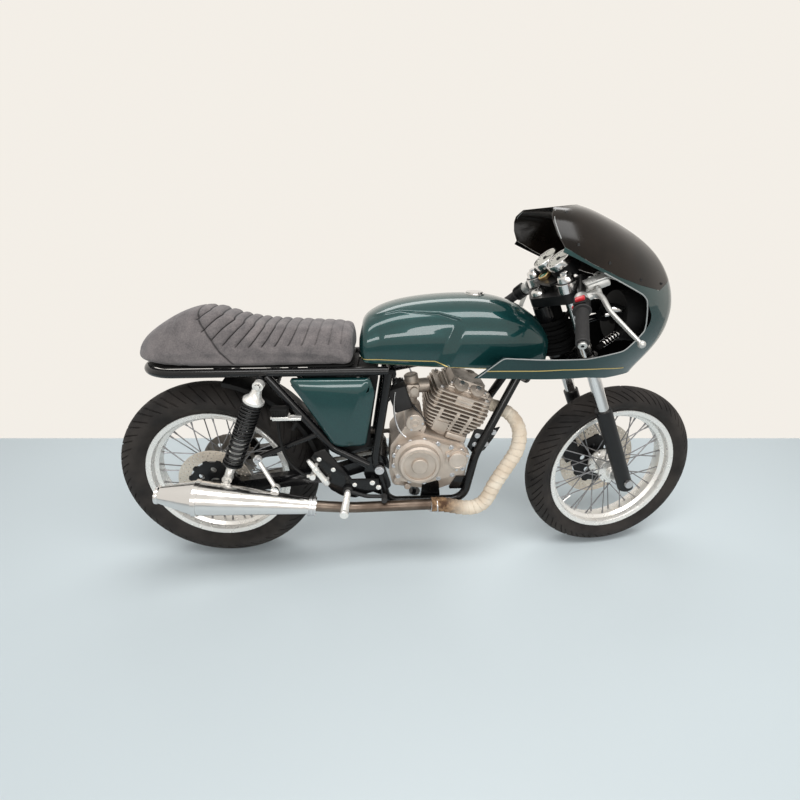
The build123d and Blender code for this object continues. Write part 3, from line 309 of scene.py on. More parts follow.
SEAT_FRONT = 0.4795  # ahead of this, towards the tank, the cover's end is painted near-black: painted shade in the gap before the tank
suede = finish("grey_suede", (0.15, 0.135, 0.132), 0.95,
               Sheen_Weight=0.22, Sheen_Roughness=0.5, Specular_IOR_Level=0.2)
nap = suede.noise(26, 5) * 0.55 + suede.noise(240, 3) * 0.45
# painted shade: the suede is darker in the sewn grooves and along the seam, read from the mesh's groove attribute
groove = suede.node("ShaderNodeAttribute", {"attribute_name": "groove"}, {}, 2)
front_shade = suede.ramp(suede.along(0), SEAT_FRONT, SEAT_FRONT + 0.002)
brushed = suede.mix(suede.ramp(nap, 0.36, 0.64), (0.115, 0.104, 0.104), (0.215, 0.19, 0.184))
brushed = suede.mix(suede.ramp(groove, 0.12, 0.85), brushed, (0.012, 0.011, 0.011))
# painted shade: near-black at the seat's front end, in the gap before the tank
suede.feed(Base_Color=suede.mix(front_shade, brushed, (0.008, 0.008, 0.008)))
suede.bump(nap, 0.0012, 0.5)

tape = finish("wrapped_pipe", (0.66, 0.56, 0.43), 0.9)
weave = tape.node("ShaderNodeTexWave", {}, {"Vector": tape.place(), "Scale": 160.0, "Distortion": 1.5})
dirt = tape.ramp(tape.noise(18, 4), 0.35, 0.7)
low_down = tape.ramp(0.36 - tape.along(2), 0.0, 0.03) * tape.ramp(0.85 - tape.along(0), 0.0, 0.08)
clean = tape.mix(dirt, (0.86, 0.76, 0.62), (0.74, 0.6, 0.45))
burnt = tape.mix(tape.ramp(tape.noise(60, 3), 0.4, 0.62), (0.09, 0.045, 0.022), (0.34, 0.21, 0.11))
tape.feed(Base_Color=tape.mix(low_down, clean, burnt))
tape.bump(weave, 0.0006, 0.5)
print("soft finishes ready")

# %% [markdown]
# The record names a material slot for each solid, and the finish of the same name goes on it. The
# fairing and the headlamp have finishes of their own, because their inside isn't like their outside.

# %% Give every solid its finish
SLOT_OF = {part["node"]: part["material_slot"] for part in frame["record"]["subparts"]}
OWN_FINISH = {"fairing": "fairing_paint", "headlamp": "lamp_and_bucket"}
for node, solid in NODES.items():
    solid.data.materials.clear()
    solid.data.materials.append(FINISH[OWN_FINISH.get(node, SLOT_OF[node])].material)
print("finishes on", len(NODES), "solids")

# %% [markdown]
# The floor is a pale, slightly blue sheet that stops in a straight line behind the machine. Beyond
# that line the plain warm background takes the part of a wall, so nothing stands in the way of a view
# from behind. Mirrors and glass see that same background. Three long, narrow panels light the
# machine: one overhead, one lower on the camera's side and one behind. Their reflections are the
# strips of light that show the shape of the tank.

# %% Floor and light
FLOOR_END, FLOOR_SLANT = 0.499, 0.0359  # metres behind the machine, and how that line slants
floor_paint = Finish("floor", (0.66, 0.73, 0.75), 0.5)
on_floor = {"Vector": floor_paint.place()}
forward, behind = (floor_paint.node("ShaderNodeSeparateXYZ", {}, on_floor, axis) for axis in (0, 1))
floor_paint.feed(Alpha=floor_paint.ramp(FLOOR_END - behind - forward * FLOOR_SLANT, 0.0, 0.006))


def place_object(name, data):
    made = bpy.data.objects.new(name, data)
    bpy.context.scene.collection.objects.link(made)
    return made


def finished(name, bm, paint):
    """Object at the origin made of the bmesh, with one material."""
    mesh = bpy.data.meshes.new(name)
    bm.to_mesh(mesh)
    bm.free()
    mesh.materials.append(paint.material)
    return place_object(name, mesh)


def panel(name, at, aim, size, watts):
    """Soft rectangular light."""
    data = bpy.data.lights.new(name, "AREA")
    data.shape, data.size, data.size_y = "RECTANGLE", *size
    data.energy = watts
    made = place_object(name, data)
    made.location = at
    made.rotation_euler = (Vector(aim) - Vector(at)).to_track_quat("-Z", "Y").to_euler()


bm = bmesh.new()
bmesh.ops.create_grid(bm, x_segments=1, y_segments=1, size=12.0)
finished("floor", bm, floor_paint)
panel("panel_over", (0.1, -0.7, 3.2), (0, 0, 0.5), (3.8, 0.8), 60)
panel("panel_right", (0.3, -3.0, 1.9), (0, 0, 0.55), (3.4, 0.5), 36)
panel("panel_back", (0.0, 1.9, 2.6), (0, 0, 0.5), (3.4, 0.6), 26)
world = bpy.data.worlds.new("world")
bpy.context.scene.world = world
world.use_nodes = True
sky = world.node_tree
around = sky.nodes["Background"]
around.inputs["Color"].default_value = (0.93, 0.95, 0.97, 1)
around.inputs["Strength"].default_value = 0.36
seen = sky.nodes.new("ShaderNodeBackground")
seen.inputs["Color"].default_value = (0.9, 0.86, 0.8, 1)
choice = sky.nodes.new("ShaderNodeMixShader")
rays = sky.nodes.new("ShaderNodeLightPath")
shows = rays.outputs["Is Camera Ray"]
for kind in ("Is Glossy Ray", "Is Transmission Ray"):
    either = sky.nodes.new("ShaderNodeMath")
    either.operation = "MAXIMUM"
    sky.links.new(shows, either.inputs[0])
    sky.links.new(rays.outputs[kind], either.inputs[1])
    shows = either.outputs[0]
sky.links.new(shows, choice.inputs[0])
sky.links.new(around.outputs[0], choice.inputs[1])
sky.links.new(seen.outputs[0], choice.inputs[2])
sky.links.new(choice.outputs[0], sky.nodes["World Output"].inputs["Surface"])
bpy.context.scene.view_settings.view_transform = "Standard"
print("floor and panels in place")

# %% [markdown]
# Every new piece is built in a bmesh and then settled: the matrix of its place goes into the mesh, so
# the object itself stays at the origin, as the solids' objects do. The few helpers below cover most of
# a motorcycle: turned shapes, round bars, plates cut to an outline, and pipes along a smooth line.

# %% Helpers that make shapes
def settle(name, bm, paint, place=BIKE, body="chassis", smooth=35, stands_for=()):
    """Make the bmesh an object, shade it, and let it ride on its body."""
    bmesh.ops.remove_doubles(bm, verts=bm.verts, dist=0.0005)
    bmesh.ops.transform(bm, matrix=place, verts=bm.verts)
    bmesh.ops.recalc_face_normals(bm, faces=bm.faces)
    piece = finished(name, bm, FINISH[paint])
    for polygon in piece.data.polygons:
        polygon.use_smooth = True
    piece.data.set_sharp_from_angle(angle=radians(smooth))
    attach(piece, body)
    if stands_for:
        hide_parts(*stands_for)
    return piece


def towards(start, end):
    """Matrix that puts the origin at start and turns Z towards end."""
    start, end = Vector(start), Vector(end)
    return Matrix.Translation(start) @ (end - start).to_track_quat("Z", "Y").to_matrix().to_4x4()


def sideways(x, y, z, side):
    """Matrix that puts the origin at a point and turns Z to one side of the machine."""
    return towards((x, y, z), (x, y + side, z))


ACROSS = turn(-90, "X")  # turns Z to Y, for round pieces that lie across the machine


def lathe(bm, profile, matrix=Matrix.Identity(4), steps=32):
    """Turn an open profile of (radius, height) about Z, then place it."""
    others = set(bm.verts)
    line = [bm.verts.new((radius, 0, height)) for radius, height in profile]
    edges = [bm.edges.new(pair) for pair in zip(line, line[1:])]
    bmesh.ops.spin(bm, geom=line + edges, axis=(0, 0, 1), cent=(0, 0, 0),
                   steps=steps, angle=tau, use_merge=True)
    bmesh.ops.transform(bm, matrix=matrix, verts=[vert for vert in bm.verts if vert not in others])


def cone(bm, foot, radius, thin, length, sides):
    """Capped cone that stands on the origin of a matrix."""
    bmesh.ops.create_cone(bm, cap_ends=True, segments=sides, radius1=radius, radius2=thin,
                          depth=length, matrix=foot @ Matrix.Translation((0, 0, length / 2)))


def bar(bm, start, end, radius, thin=None, sides=14):
    """Round bar or taper between two points."""
    length = (Vector(end) - Vector(start)).length
    cone(bm, towards(start, end), radius, radius if thin is None else thin, length, sides)


def soften(bm, verts, width):
    """Bevel every edge of a new shape."""
    edges = {edge for vert in verts for edge in vert.link_edges}
    bmesh.ops.bevel(bm, geom=list(edges), offset=width, segments=2, affect="EDGES", profile=0.5, material=-1)


def block(bm, centre, size, width=0.0, rotation=Matrix.Identity(4)):
    """Box with softened edges."""
    matrix = Matrix.Translation(centre) @ rotation @ Matrix.Diagonal((*size, 1))
    verts = bmesh.ops.create_cube(bm, size=1.0, matrix=matrix)["verts"]
    if width:
        soften(bm, verts, width)


def thicken(bm, faces, depth):
    """Give flat faces that look sideways a thickness; the new corners come back."""
    made = bmesh.ops.extrude_face_region(bm, geom=faces)["geom"]
    moved = [item for item in made if isinstance(item, bmesh.types.BMVert)]
    bmesh.ops.translate(bm, vec=(0, depth, 0), verts=moved)
    return moved


def plate(bm, points, y_from, y_to, width=0.0):
    """Plate cut to a side-view outline of (x, z), with softened edges."""
    face = bm.faces.new([bm.verts.new((x, y_from, z)) for x, z in points])
    moved = thicken(bm, [face], y_to - y_from)
    if width:
        soften(bm, list(face.verts) + moved, width)


def circle(x, z, radius, count, start=0.0, sweep=360.0):
    """Points round a circle in the side view."""
    step = radians(sweep) / (count if sweep == 360.0 else count - 1)
    angles = [radians(start) + step * k for k in range(count)]
    return [(x + radius * cos(angle), z + radius * sin(angle)) for angle in angles]


def pipe(bm, points, radius, resolution=6):
    """Round pipe along the smooth line of a NURBS spline with these control points."""
    data = bpy.data.curves.new("pipe", "CURVE")
    data.dimensions, data.bevel_depth, data.bevel_resolution, data.use_fill_caps = "3D", radius, 2, True
    spline = data.splines.new("NURBS")
    spline.points.add(len(points) - 1)
    for knot, point in zip(spline.points, points):
        knot.co = (*point, 1)
    spline.order_u, spline.use_endpoint_u, spline.resolution_u = min(4, len(points)), True, resolution
    holder = bpy.data.objects.new("pipe", data)
    mesh = bpy.data.meshes.new_from_object(holder)
    bm.from_mesh(mesh)
    bpy.data.objects.remove(holder)
    bpy.data.curves.remove(data)
    bpy.data.meshes.remove(mesh)


def bolt(bm, x, y, z, radius, proud, side=-1):
    """Hexagon bolt head on a washer, facing sideways."""
    washer, head = (Matrix.Translation((x, y + side * lift, z)) @ turn(-90 * side, "X") for lift in (0, 1))
    cone(bm, washer, radius * 1.35, radius * 1.35, 1.6, 16)
    cone(bm, head, radius, radius * 0.94, proud, 6)


print("helpers ready")

# %% [markdown]
# A road tyre's shape comes from its crown, and its look from the grooves. The cross-section is drawn
# once and extruded round the wheel in small steps. Each step also skews the section, so the lines of
# the mesh run along the curved diagonal grooves, and a groove is made by pressing two of those lines
# in. That keeps the edges of the grooves sharp with few faces.

# %% Tyres
TREAD_ROWS = 15


def tyre_section(half, radius, bead, lip):
    """Half section from the centre of the crown to the bead: (y, radius, how far out on the tread)."""
    crown = radius - half
    points = []
    for k in range(TREAD_ROWS):
        angle = radians(78) * k / (TREAD_ROWS - 1)
        points.append((half * sin(angle), crown + half * cos(angle), k / (TREAD_ROWS - 1)))
    knee = points[-1]
    for t, bulge in ((0.22, 1.6), (0.45, 2.0), (0.55, 0.6), (0.8, 0.8), (0.94, 0.0), (1.0, 0.0)):
        points.append((knee[0] + (bead - knee[0]) * t ** 1.5 + bulge, knee[1] + (lip - knee[1]) * t, 1.0 + t))
    return points


# Steps of one pitch of the pattern: share of the pitch, in a long groove or not, in a short groove or not
TREAD_STEPS = ((0.0, 0, 0), (0.10, 0, 0), (0.115, 1, 0), (0.19, 1, 0), (0.205, 0, 0),
               (0.52, 0, 0), (0.535, 0, 1), (0.61, 0, 1), (0.625, 0, 0))
GROOVE_DEPTH, GROOVE_SWEEP = 4.2, 1.21


def make_tyre(name, node, body, place, size, pitches):
    half, radius, bead, lip = size
    crown = radius - half
    section = tyre_section(*size)
    full = [(-y, r, t) for y, r, t in reversed(section[1:])] + section
    turn_of_pitch = tau / pitches
    bm = bmesh.new()
    rings = []
    for pitch in range(pitches):
        for at, inner, outer in TREAD_STEPS:
            ring = []
            for y, r, t in full:
                sunk = inner and 0.10 < t < 0.86 or outer and 0.36 < t < 0.97
                share = 1 - GROOVE_DEPTH / max(hypot(y, r - crown), 1.0) if sunk else 1
                out = crown + (r - crown) * share
                angle = (pitch + at + GROOVE_SWEEP * min(t, 1.0) ** 1.3) * turn_of_pitch
                ring.append(bm.verts.new((out * sin(angle), y * share, out * cos(angle))))
            rings.append(ring)
    for ring in rings:
        for pair in zip(ring, ring[1:]):
            bm.edges.new(pair)
    for first, second in zip(rings, rings[1:] + rings[:1]):
        edges = [bm.edges.get(pair) for ring in (first, second) for pair in zip(ring, ring[1:])]
        bmesh.ops.bridge_loops(bm, edges=edges)
    tyre = settle(name, bm, "tyre", place, body, stands_for=[node], smooth=28)
    print(name, len(tyre.data.polygons), "faces")


make_tyre("rear_tread", "rear_tyre", "rear_wheel", REAR_WHEEL, (65.0, TYRE_REAR, 41.0, 243.5), 30)
make_tyre("front_tread", "front_tyre", "front_wheel", FRONT_WHEEL, (52.0, TYRE_FRONT, 36.0, 237.4), 32)

# %% [markdown]
# A wire wheel is three things: a rolled alloy rim with a lip on each side and a well in the middle, a
# hub with two flanges, and spokes that cross each other between them. The rim and the hub are turned
# from profiles. Each spoke leaves its flange nearly along the edge, which is what lets it carry the
# drive, and ends in a nipple in the rim's well.

# %% Rims, hubs and spokes
SPOKE_COUNT, SPOKE_LEAD = 36, 36.0


def make_rim(name, node, body, place, lip, half):
    """Rolled rim with raised lips and a centre well, and the stem of its valve."""
    outer = [(lip - 14, half), (lip - 3, half), (lip, half + 1.2), (lip + 0.6, half + 2.8),
             (lip - 0.6, half + 4.3), (lip - 3.5, half + 4.6), (lip - 8, half + 3.2), (lip - 16, half + 1.6),
             (lip - 19, half - 4), (lip - 19.6, half - 16), (lip - 31, half - 23), (lip - 31.8, 0)]
    inner = [(lip - 14, half), (lip - 14, half - 15), (lip - 27, half - 24), (lip - 27, 0)]
    loop = outer + [(r, -y) for r, y in outer[-2::-1] + inner[1:]] + inner[-2::-1]
    bm = bmesh.new()
    lathe(bm, loop, ACROSS, 120)
    valve = radians(200)
    foot = Vector((cos(valve) * (lip - 30), 6, sin(valve) * (lip - 30)))
    bar(bm, foot, foot * ((lip - 66) / (lip - 30)), 3.4, 2.6, 10)
    settle(name, bm, "polished_alloy", place, body, stands_for=[node], smooth=32)


def make_hub_and_spokes(wheel, place, flange, half, lip, bore):
    """Hub with two flanges, and the crossed spokes from them to the rim's well."""
    flange_y = half * 0.55
    profile = [(bore, -half), (24, -half), (27, -half + 3), (28, -flange_y - 9), (flange - 8, -flange_y - 4),
               (flange, -flange_y - 3), (flange + 0.8, -flange_y), (flange, -flange_y + 3),
               (flange - 9, -flange_y + 4), (30, -flange_y + 12), (27, 0)]
    bm = bmesh.new()
    lathe(bm, profile + [(r, -y) for r, y in profile[-2::-1]] + [(bore, -half)], ACROSS, 64)
    settle(wheel + "_hub_shell", bm, "polished_alloy", place, wheel + "_wheel",
           stands_for=[wheel + "_hub"], smooth=32)
    bm = bmesh.new()
    for number in range(SPOKE_COUNT):
        side = (-1, 1)[number % 2]
        lead = (-1, 1)[number // 2 % 2]
        at_rim = tau / SPOKE_COUNT * number
        at_hub = at_rim - radians(lead * SPOKE_LEAD)
        near = Vector(((flange - 5) * sin(at_hub), side * flange_y + lead * 4.5, (flange - 5) * cos(at_hub)))
        far = Vector(((lip - 31) * sin(at_rim), side * 9, (lip - 31) * cos(at_rim)))
        run = (far - near).normalized()
        bar(bm, near, far, 2.0, sides=8)
        bar(bm, far - run * 15, far, 2.6, 3.6, 8)
        bar(bm, near + Vector((0, -lead * 6, 0)), near + Vector((0, lead * 2, 0)), 2.6, sides=8)
    settle(wheel + "_spokes", bm, "spoke_steel", place, wheel + "_wheel", smooth=32)


make_rim("rear_rolled_rim", "rear_rim", "rear_wheel", REAR_WHEEL, 242.5, 41.0)
make_rim("front_rolled_rim", "front_rim", "front_wheel", FRONT_WHEEL, 236.4, 36.0)
make_hub_and_spokes("rear", REAR_WHEEL, 58.0, 70.0, 242.5, 9.3)
make_hub_and_spokes("front", FRONT_WHEEL, 50.0, 60.0, 236.4, 8.3)
print("two wire wheels")

# %% [markdown]
# A drilled disc is flat, so it is easiest to fill an outline that has holes in it. The ring, its
# bore and every hole are circles of edges; one fill makes the face between them, and one extrusion
# gives it the disc's thickness. The rear disc rides on a dark carrier with a toothed edge.

# %% Brake discs
def closed_ring(bm, points):
    """Edges round a closed line of points."""
    verts = [bm.verts.new(point) for point in points]
    return [bm.edges.new(pair) for pair in zip(verts, verts[1:] + verts[:1])]


def drilled(bm, outline, holes, y_from, y_to):
    """Flat plate of an outline with holes, between two planes."""
    lines = [[(x, y_from, z) for x, z in line] for line in [outline] + holes]
    edges = [edge for line in lines for edge in closed_ring(bm, line)]
    filled = bmesh.ops.triangle_fill(bm, use_beauty=True, edges=edges)["geom"]
    thicken(bm, [item for item in filled if isinstance(item, bmesh.types.BMFace)], y_to - y_from)


def polar(radius, angle):
    return radius * cos(angle), radius * sin(angle)


def hole_rows(rows):
    """Round holes in rings: count, radius of the ring, radius of the hole, turn."""
    holes = []
    for count, ring, hole, shift in rows:
        holes += [circle(*polar(ring, tau * (k + shift) / count), hole, 10) for k in range(count)]
    return holes


def toothed(teeth, tooth, start=0.0):
    """Outline of a toothed wheel; the shape of a tooth is rows of (share of the pitch, radius)."""
    return [polar(radius, start + tau * (k + part) / teeth) for k in range(teeth) for part, radius in tooth]


def make_disc(name, node, body, place, y, outer, inner, rows, bore):
    """Drilled ring on a toothed carrier with round buttons between the two."""
    bm = bmesh.new()
    drilled(bm, circle(0, 0, outer, 96), [circle(0, 0, inner, 72)] + hole_rows(rows), y - 2.2, y + 2.2)
    settle(name, bm, "disc_steel", place, body, stands_for=[node], smooth=30)
    bm = bmesh.new()
    slots = hole_rows([(6, (inner + bore) / 2 - 2, 11, 0.5)])
    tooth = ((0.0, inner - 5), (0.22, inner - 5), (0.34, inner + 4), (0.66, inner + 4), (0.78, inner - 5))
    drilled(bm, toothed(12, tooth), [circle(0, 0, bore, 32)] + slots, y - 3.2, y + 3.2)
    for x, z in circle(0, 0, inner - 1, 12, 15):
        bar(bm, (x, y - 5, z), (x, y + 5, z), 5.0, sides=12)
    settle(name + "_carrier", bm, "black_metal", place, body, smooth=30)


make_disc("rear_drilled_disc", "rear_disc", "rear_wheel", REAR_WHEEL, -74.0, 122.0, 84.0,
          [(36, 114, 3.0, 0), (36, 104, 3.0, 0.5), (36, 94, 2.6, 0)], 20.0)
make_disc("front_drilled_disc", "front_disc", "front_wheel", FRONT_WHEEL, 64.0, 146.0, 100.0,
          [(40, 138, 3.2, 0), (40, 127, 3.2, 0.5), (40, 115, 3.2, 0)], 19.0)
print("two drilled discs")

# %% [markdown]
# A roller chain is links of two shapes by turns, on rollers. At this size each link is a plate with
# two round ends. The links are laid along the closed line that wraps both sprockets, one every five
# eighths of an inch, and their count has to come out even. The teeth of the large sprocket are turned
# so that they fall between the rollers.

# %% Chain and sprocket
CHAIN_Y, CHAIN_PITCH, TEETH = 82.0, 15.875, 36
BIG, SMALL = TEETH * CHAIN_PITCH / tau, 33.0
FRONT_SHAFT = (640.0, 404.0)
span = Vector((FRONT_SHAFT[0], FRONT_SHAFT[1] - TYRE_REAR))
wrap = acos((BIG - SMALL) / span.length)
heading = atan2(span.y, span.x)
straight = sqrt(span.length ** 2 - (BIG - SMALL) ** 2)
lengths = [straight, SMALL * 2 * wrap, straight, BIG * (tau - 2 * wrap)]


def on_chain(s):
    """Point on the chain's line at this distance along it: over the top, round the front, back and round."""
    s %= sum(lengths)
    top, low = heading + wrap, heading - wrap
    big, small = Vector((0, TYRE_REAR)), Vector(FRONT_SHAFT)
    if s < lengths[0]:
        return (big + Vector(polar(BIG, top))).lerp(small + Vector(polar(SMALL, top)), s / lengths[0])
    s -= lengths[0]
    if s < lengths[1]:
        return small + Vector(polar(SMALL, top - s / SMALL))
    s -= lengths[1]
    if s < lengths[2]:
        return (small + Vector(polar(SMALL, low))).lerp(big + Vector(polar(BIG, low)), s / lengths[2])
    return big + Vector(polar(BIG, low - (s - lengths[2]) / BIG))


links = 2 * round(sum(lengths) / CHAIN_PITCH / 2)
pitch_of_link = sum(lengths) / links
bm = bmesh.new()
for k in range(links):
    first, second = on_chain(k * pitch_of_link), on_chain((k + 1) * pitch_of_link)
    lean = degrees(atan2(second.y - first.y, second.x - first.x))
    ends = circle(*first, 6.6, 7, lean + 90, 180) + circle(*second, 6.6, 7, lean - 90, 180)
    out = 6.4 if k % 2 else 4.4
    for side in (-1, 1):
        plate(bm, ends, CHAIN_Y + side * out, CHAIN_Y + side * (out - 1.5))
    bar(bm, (first.x, CHAIN_Y - 7.2, first.y), (first.x, CHAIN_Y + 7.2, first.y), 2.6, sides=8)
settle("roller_chain", bm, "chain_steel", stands_for=["drive_chain"], smooth=30)
wrap_middle = round((sum(lengths[:3]) + lengths[3] / 2) / pitch_of_link)
roller = on_chain(wrap_middle * pitch_of_link)
seated = atan2(roller.y - TYRE_REAR, roller.x)
bm = bmesh.new()
TOOTH = ((0.0, -5.5), (0.25, -4.5), (0.42, 3.5), (0.58, 3.5), (0.75, -4.5))  # (share of the pitch, out)
tooth = [(share, BIG + out) for share, out in TOOTH]
holes = [circle(0, 0, 17, 32)] + hole_rows([(6, 64, 10, 0)])
drilled(bm, toothed(TEETH, tooth, seated), holes, CHAIN_Y - 2.6, CHAIN_Y + 2.6)
lathe(bm, [(17, 70.2), (44, 70.2), (44, CHAIN_Y - 2.6)], ACROSS, 40)
for x, z in circle(0, 0, 36, 6, 30):
    bolt(bm, x, CHAIN_Y + 2.6, z, 6.5, 6, 1)
settle("rear_sprocket_plate", bm, "chain_steel", REAR_WHEEL, "rear_wheel",
       stands_for=["rear_sprocket"], smooth=30)
print(links, "links,", TEETH, "teeth")

# %% [markdown]
# The tank is the shape that people look at first, so it is a sheet of its own. A grid is laid round
# half of it, from the tunnel under the tank over the belt to the crown, and every point is moved on
# to a section that is blended between a few named ones. Behind a slanted step the flank is pressed
# in to make room for the rider's knee. Mirroring gives the other half.

# %% Fuel tank
# Sections: x, half width, height of the belt, of the underside, of the crown
TANK_SECTIONS = (
    (499, 58, 795, 768, 820), (505, 88, 797, 759, 856), (528, 107, 800, 755, 888), (590, 121, 807, 754, 918),
    (680, 131, 813, 751, 936), (800, 137, 815, 747, 944), (900, 135, 813, 741, 938),
    (980, 124, 808, 738, 913), (1040, 103, 800, 740, 874), (1070, 80, 792, 749, 836),
    (1079, 56, 786, 758, 808),
)


def blend_rows(rows, x):
    """Row of a table at this x, smoothly blended between its neighbours."""
    k = max(0, min(len(rows) - 2, sum(row[0] <= x for row in rows) - 1))
    before, start, end, after = rows[max(k - 1, 0)], rows[k], rows[k + 1], rows[min(k + 2, len(rows) - 1)]
    run = end[0] - start[0]
    t = (x - start[0]) / run
    found = []
    for p, a, b, n in zip(before[1:], start[1:], end[1:], after[1:]):
        into, out = (b - p) / (end[0] - before[0]), (n - a) / (after[0] - start[0])
        found.append((2 * t ** 3 - 3 * t ** 2 + 1) * a + (t ** 3 - 2 * t ** 2 + t) * into * run
                     + (3 * t ** 2 - 2 * t ** 3) * b + (t ** 3 - t ** 2) * out * run)
    return found


def smooth_step(value):
    value = max(0.0, min(1.0, value))
    return value * value * (3 - 2 * value)


def line_at(points, at):
    """Value of a table of (at, value) points, by straight lines."""
    for (a, first), (b, second) in zip(points, points[1:]):
        if at <= b:
            return first + (second - first) * max(0.0, (at - a) / (b - a))
    return points[-1][1]


KNEE_TOP = ((500, 870), (536, 893), (620, 912), (732, 908), (790, 893), (812, 878))


def knee_depth(x, z):
    """How far the flank is pressed in for the knee."""
    ramp_end, ramp_start = 728 + (z - 764) * 0.43, 768 + (z - 752) * 0.30
    along = max(0.0, min(1.0, (ramp_start - x) / max(ramp_start - ramp_end, 1)))
    below = line_at(KNEE_TOP, x) - z
    over = smooth_step(below / 9) * 0.5 + smooth_step(below / 60) * 0.5
    return 14.0 * along * over * smooth_step((x - 502) / 60)


def tank_point(x, t):
    """Half width and height of the sheet at this x, as t goes from the tunnel (0) to the crown (1)."""
    half, belt, low, top = blend_rows(TANK_SECTIONS, x)
    if t < 0.30:  # tunnel and underside
        tunnel = min(776 + (x - 480) * 0.148, top - 12)
        corners = ((0.0, 0.0, tunnel), (0.10, 50.0, tunnel), (0.12, 52.0, low + 1),
                   (0.24, half - 14, low), (0.30, half - 5, low + 5))
        for (a, y1, z1), (b, y2, z2) in zip(corners, corners[1:]):
            if t <= b:
                share = (t - a) / (b - a)
                return min(y1 + (y2 - y1) * share, half), z1 + (z2 - z1) * share
    if t < 0.45:
        share = (t - 0.30) / 0.15
        return half - 5 + 5 * sin(share * pi / 2), low + 5 + (belt - low - 5) * share
    angle = (t - 0.45) / 0.55 * pi / 2
    return half * max(cos(angle), 0) ** (2 / 2.35), belt + (top - belt) * sin(angle) ** (2 / 2.35)


TANK_BACK, TANK_FRONT = TANK_SECTIONS[0][0], TANK_SECTIONS[-1][0]
TANK_LENGTH = TANK_FRONT - TANK_BACK
bm = bmesh.new()
bmesh.ops.create_grid(bm, x_segments=200, y_segments=110, size=1.0)
for vert in bm.verts:
    along, t = (vert.co.x + 1) / 2, (vert.co.y + 1) / 2
    near_an_end = along < 0.02 or along > 0.98
    x = TANK_BACK + TANK_LENGTH * ((1 - cos(along * pi)) / 2 if near_an_end else along)
    y, z = tank_point(x, t)
    if t > 0.3:
        y = max(y - knee_depth(x, z), 0)
    vert.co = (x, -y, z)
ends = [edge for edge in bm.edges if edge.is_boundary
        and all(min(vert.co.x - TANK_BACK, TANK_FRONT - vert.co.x) < 1 for vert in edge.verts)]
bmesh.ops.holes_fill(bm, edges=ends, sides=0)
bmesh.ops.mirror(bm, geom=bm.verts[:] + bm.edges[:] + bm.faces[:], axis="Y", merge_dist=0.01)
tank = settle("tank_shell", bm, "teal_paint", stands_for=["fuel_tank"], smooth=45)
print("tank", len(tank.data.polygons), "faces")

# %% [markdown]
# A pinstripe is paint, but at this size it is cheaper and sharper as a ribbon that lies on the panel.
# Each point of the ribbon is found by casting a ray at the panel from the side, so it follows the
# step of the knee recess and the curve of the fairing. The pale edge of the fairing's opening, and
# that of the screen, is a thin bead that is found in the same way; its pale grey is a painted
# highlight, the light that the edge catches.

# %% Pinstripes and edge beads of painted highlight
def surface_of(piece):
    """Search tree of a piece's surface, in millimetres of the upright machine."""
    bm = bmesh.new()
    bm.from_mesh(piece.data)
    bmesh.ops.transform(bm, matrix=BIKE.inverted(), verts=bm.verts)
    tree = BVHTree.FromBMesh(bm)
    bm.free()
    return tree


def on_side(tree, x, z, side, proud=0.5):
    """Point on the panel's outer face at this (x, z), seen from one side, or None."""
    hit, normal, _, _ = tree.ray_cast(Vector((x, side * 500, z)), Vector((0, -side, 0)))
    return None if hit is None else hit + Vector((0, side * proud, 0))


def dense(points, step):
    """The same line with points at a small even step."""
    found = [Vector(points[0])]
    for a, b in zip(points, points[1:]):
        count = max(1, round((Vector(b) - Vector(a)).length / step))
        found += [Vector(a).lerp(Vector(b), k / count) for k in range(1, count + 1)]
    return found


STRIPE = 2.6  # width


def pinstripe(name, tree, line):
    """Thin gold ribbon along a line on a panel, on both sides."""
    bm = bmesh.new()
    for side in (-1, 1):
        low_row, high_row = [], []
        for x, z in dense(line, 5.0):
            pair = on_side(tree, x, z - STRIPE / 2, side), on_side(tree, x, z + STRIPE / 2, side)
            if None not in pair and (not low_row or (pair[0] - low_row[-1].co).length < 22):
                low_row.append(bm.verts.new(pair[0]))
                high_row.append(bm.verts.new(pair[1]))
        for k in range(len(low_row) - 1):
            face = bm.faces.new((low_row[k], low_row[k + 1], high_row[k + 1], high_row[k]))
            if (face.normal_update() or face.normal.y) * side < 0:
                face.normal_flip()
    bmesh.ops.transform(bm, matrix=BIKE, verts=bm.verts)
    piece = finished(name, bm, FINISH["gold_line"])
    thick = piece.modifiers.new("thickness", "SOLIDIFY")
    thick.thickness, thick.offset = 0.0005, 0
    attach(piece, "chassis")


def bead(name, tree, line, radius, slot):
    """Thin round edging along a line on a panel, on both sides, in a pale grey that paints the edge's highlight.
    """
    bm = bmesh.new()
    for side in (-1, 1):
        found = [on_side(tree, x, z, side, 0.0) for x, z in dense(line, 14.0)]
        found = [point for point in found if point is not None]
        if len(found) > 3:
            pipe(bm, found, radius, resolution=3)
    settle(name, bm, "edge_trim")


tank_surface = surface_of(tank)
fairing_surface = surface_of(NODES["fairing"])
pinstripe("tank_pinstripe", tank_surface,
          [(502, 769), (620, 768), (722, 767), (768, 750), (830, 748), (872, 747)])
pinstripe("fairing_pinstripe", fairing_surface,
          [(858, 757), (1000, 755), (1082, 756), (1150, 752), (1212, 747), (1261, 740), (1300, 735)])
OPENING = [(839, 737), (858, 755), (880, 776), (903, 797), (1000, 791), (1150, 786), (1258, 798), (1275, 803),
           (1286, 814), (1324, 861), (1331, 882), (1325, 907), (1296, 947), (1290, 953), (1280, 960),
           (1186, 1001), (1098, 1039), (1040, 1064)]
SCREEN_EDGE = [(1016, 1104), (1011, 1117), (1004, 1142), (1004, 1158), (1015, 1173)]
bead("fairing_edge_highlight", fairing_surface, OPENING, 1.7, "teal_paint")
screen_surface = surface_of(NODES["windscreen"])
bead("screen_edge_highlight", screen_surface, SCREEN_EDGE, 1.3, "smoked_screen")
bm = bmesh.new()
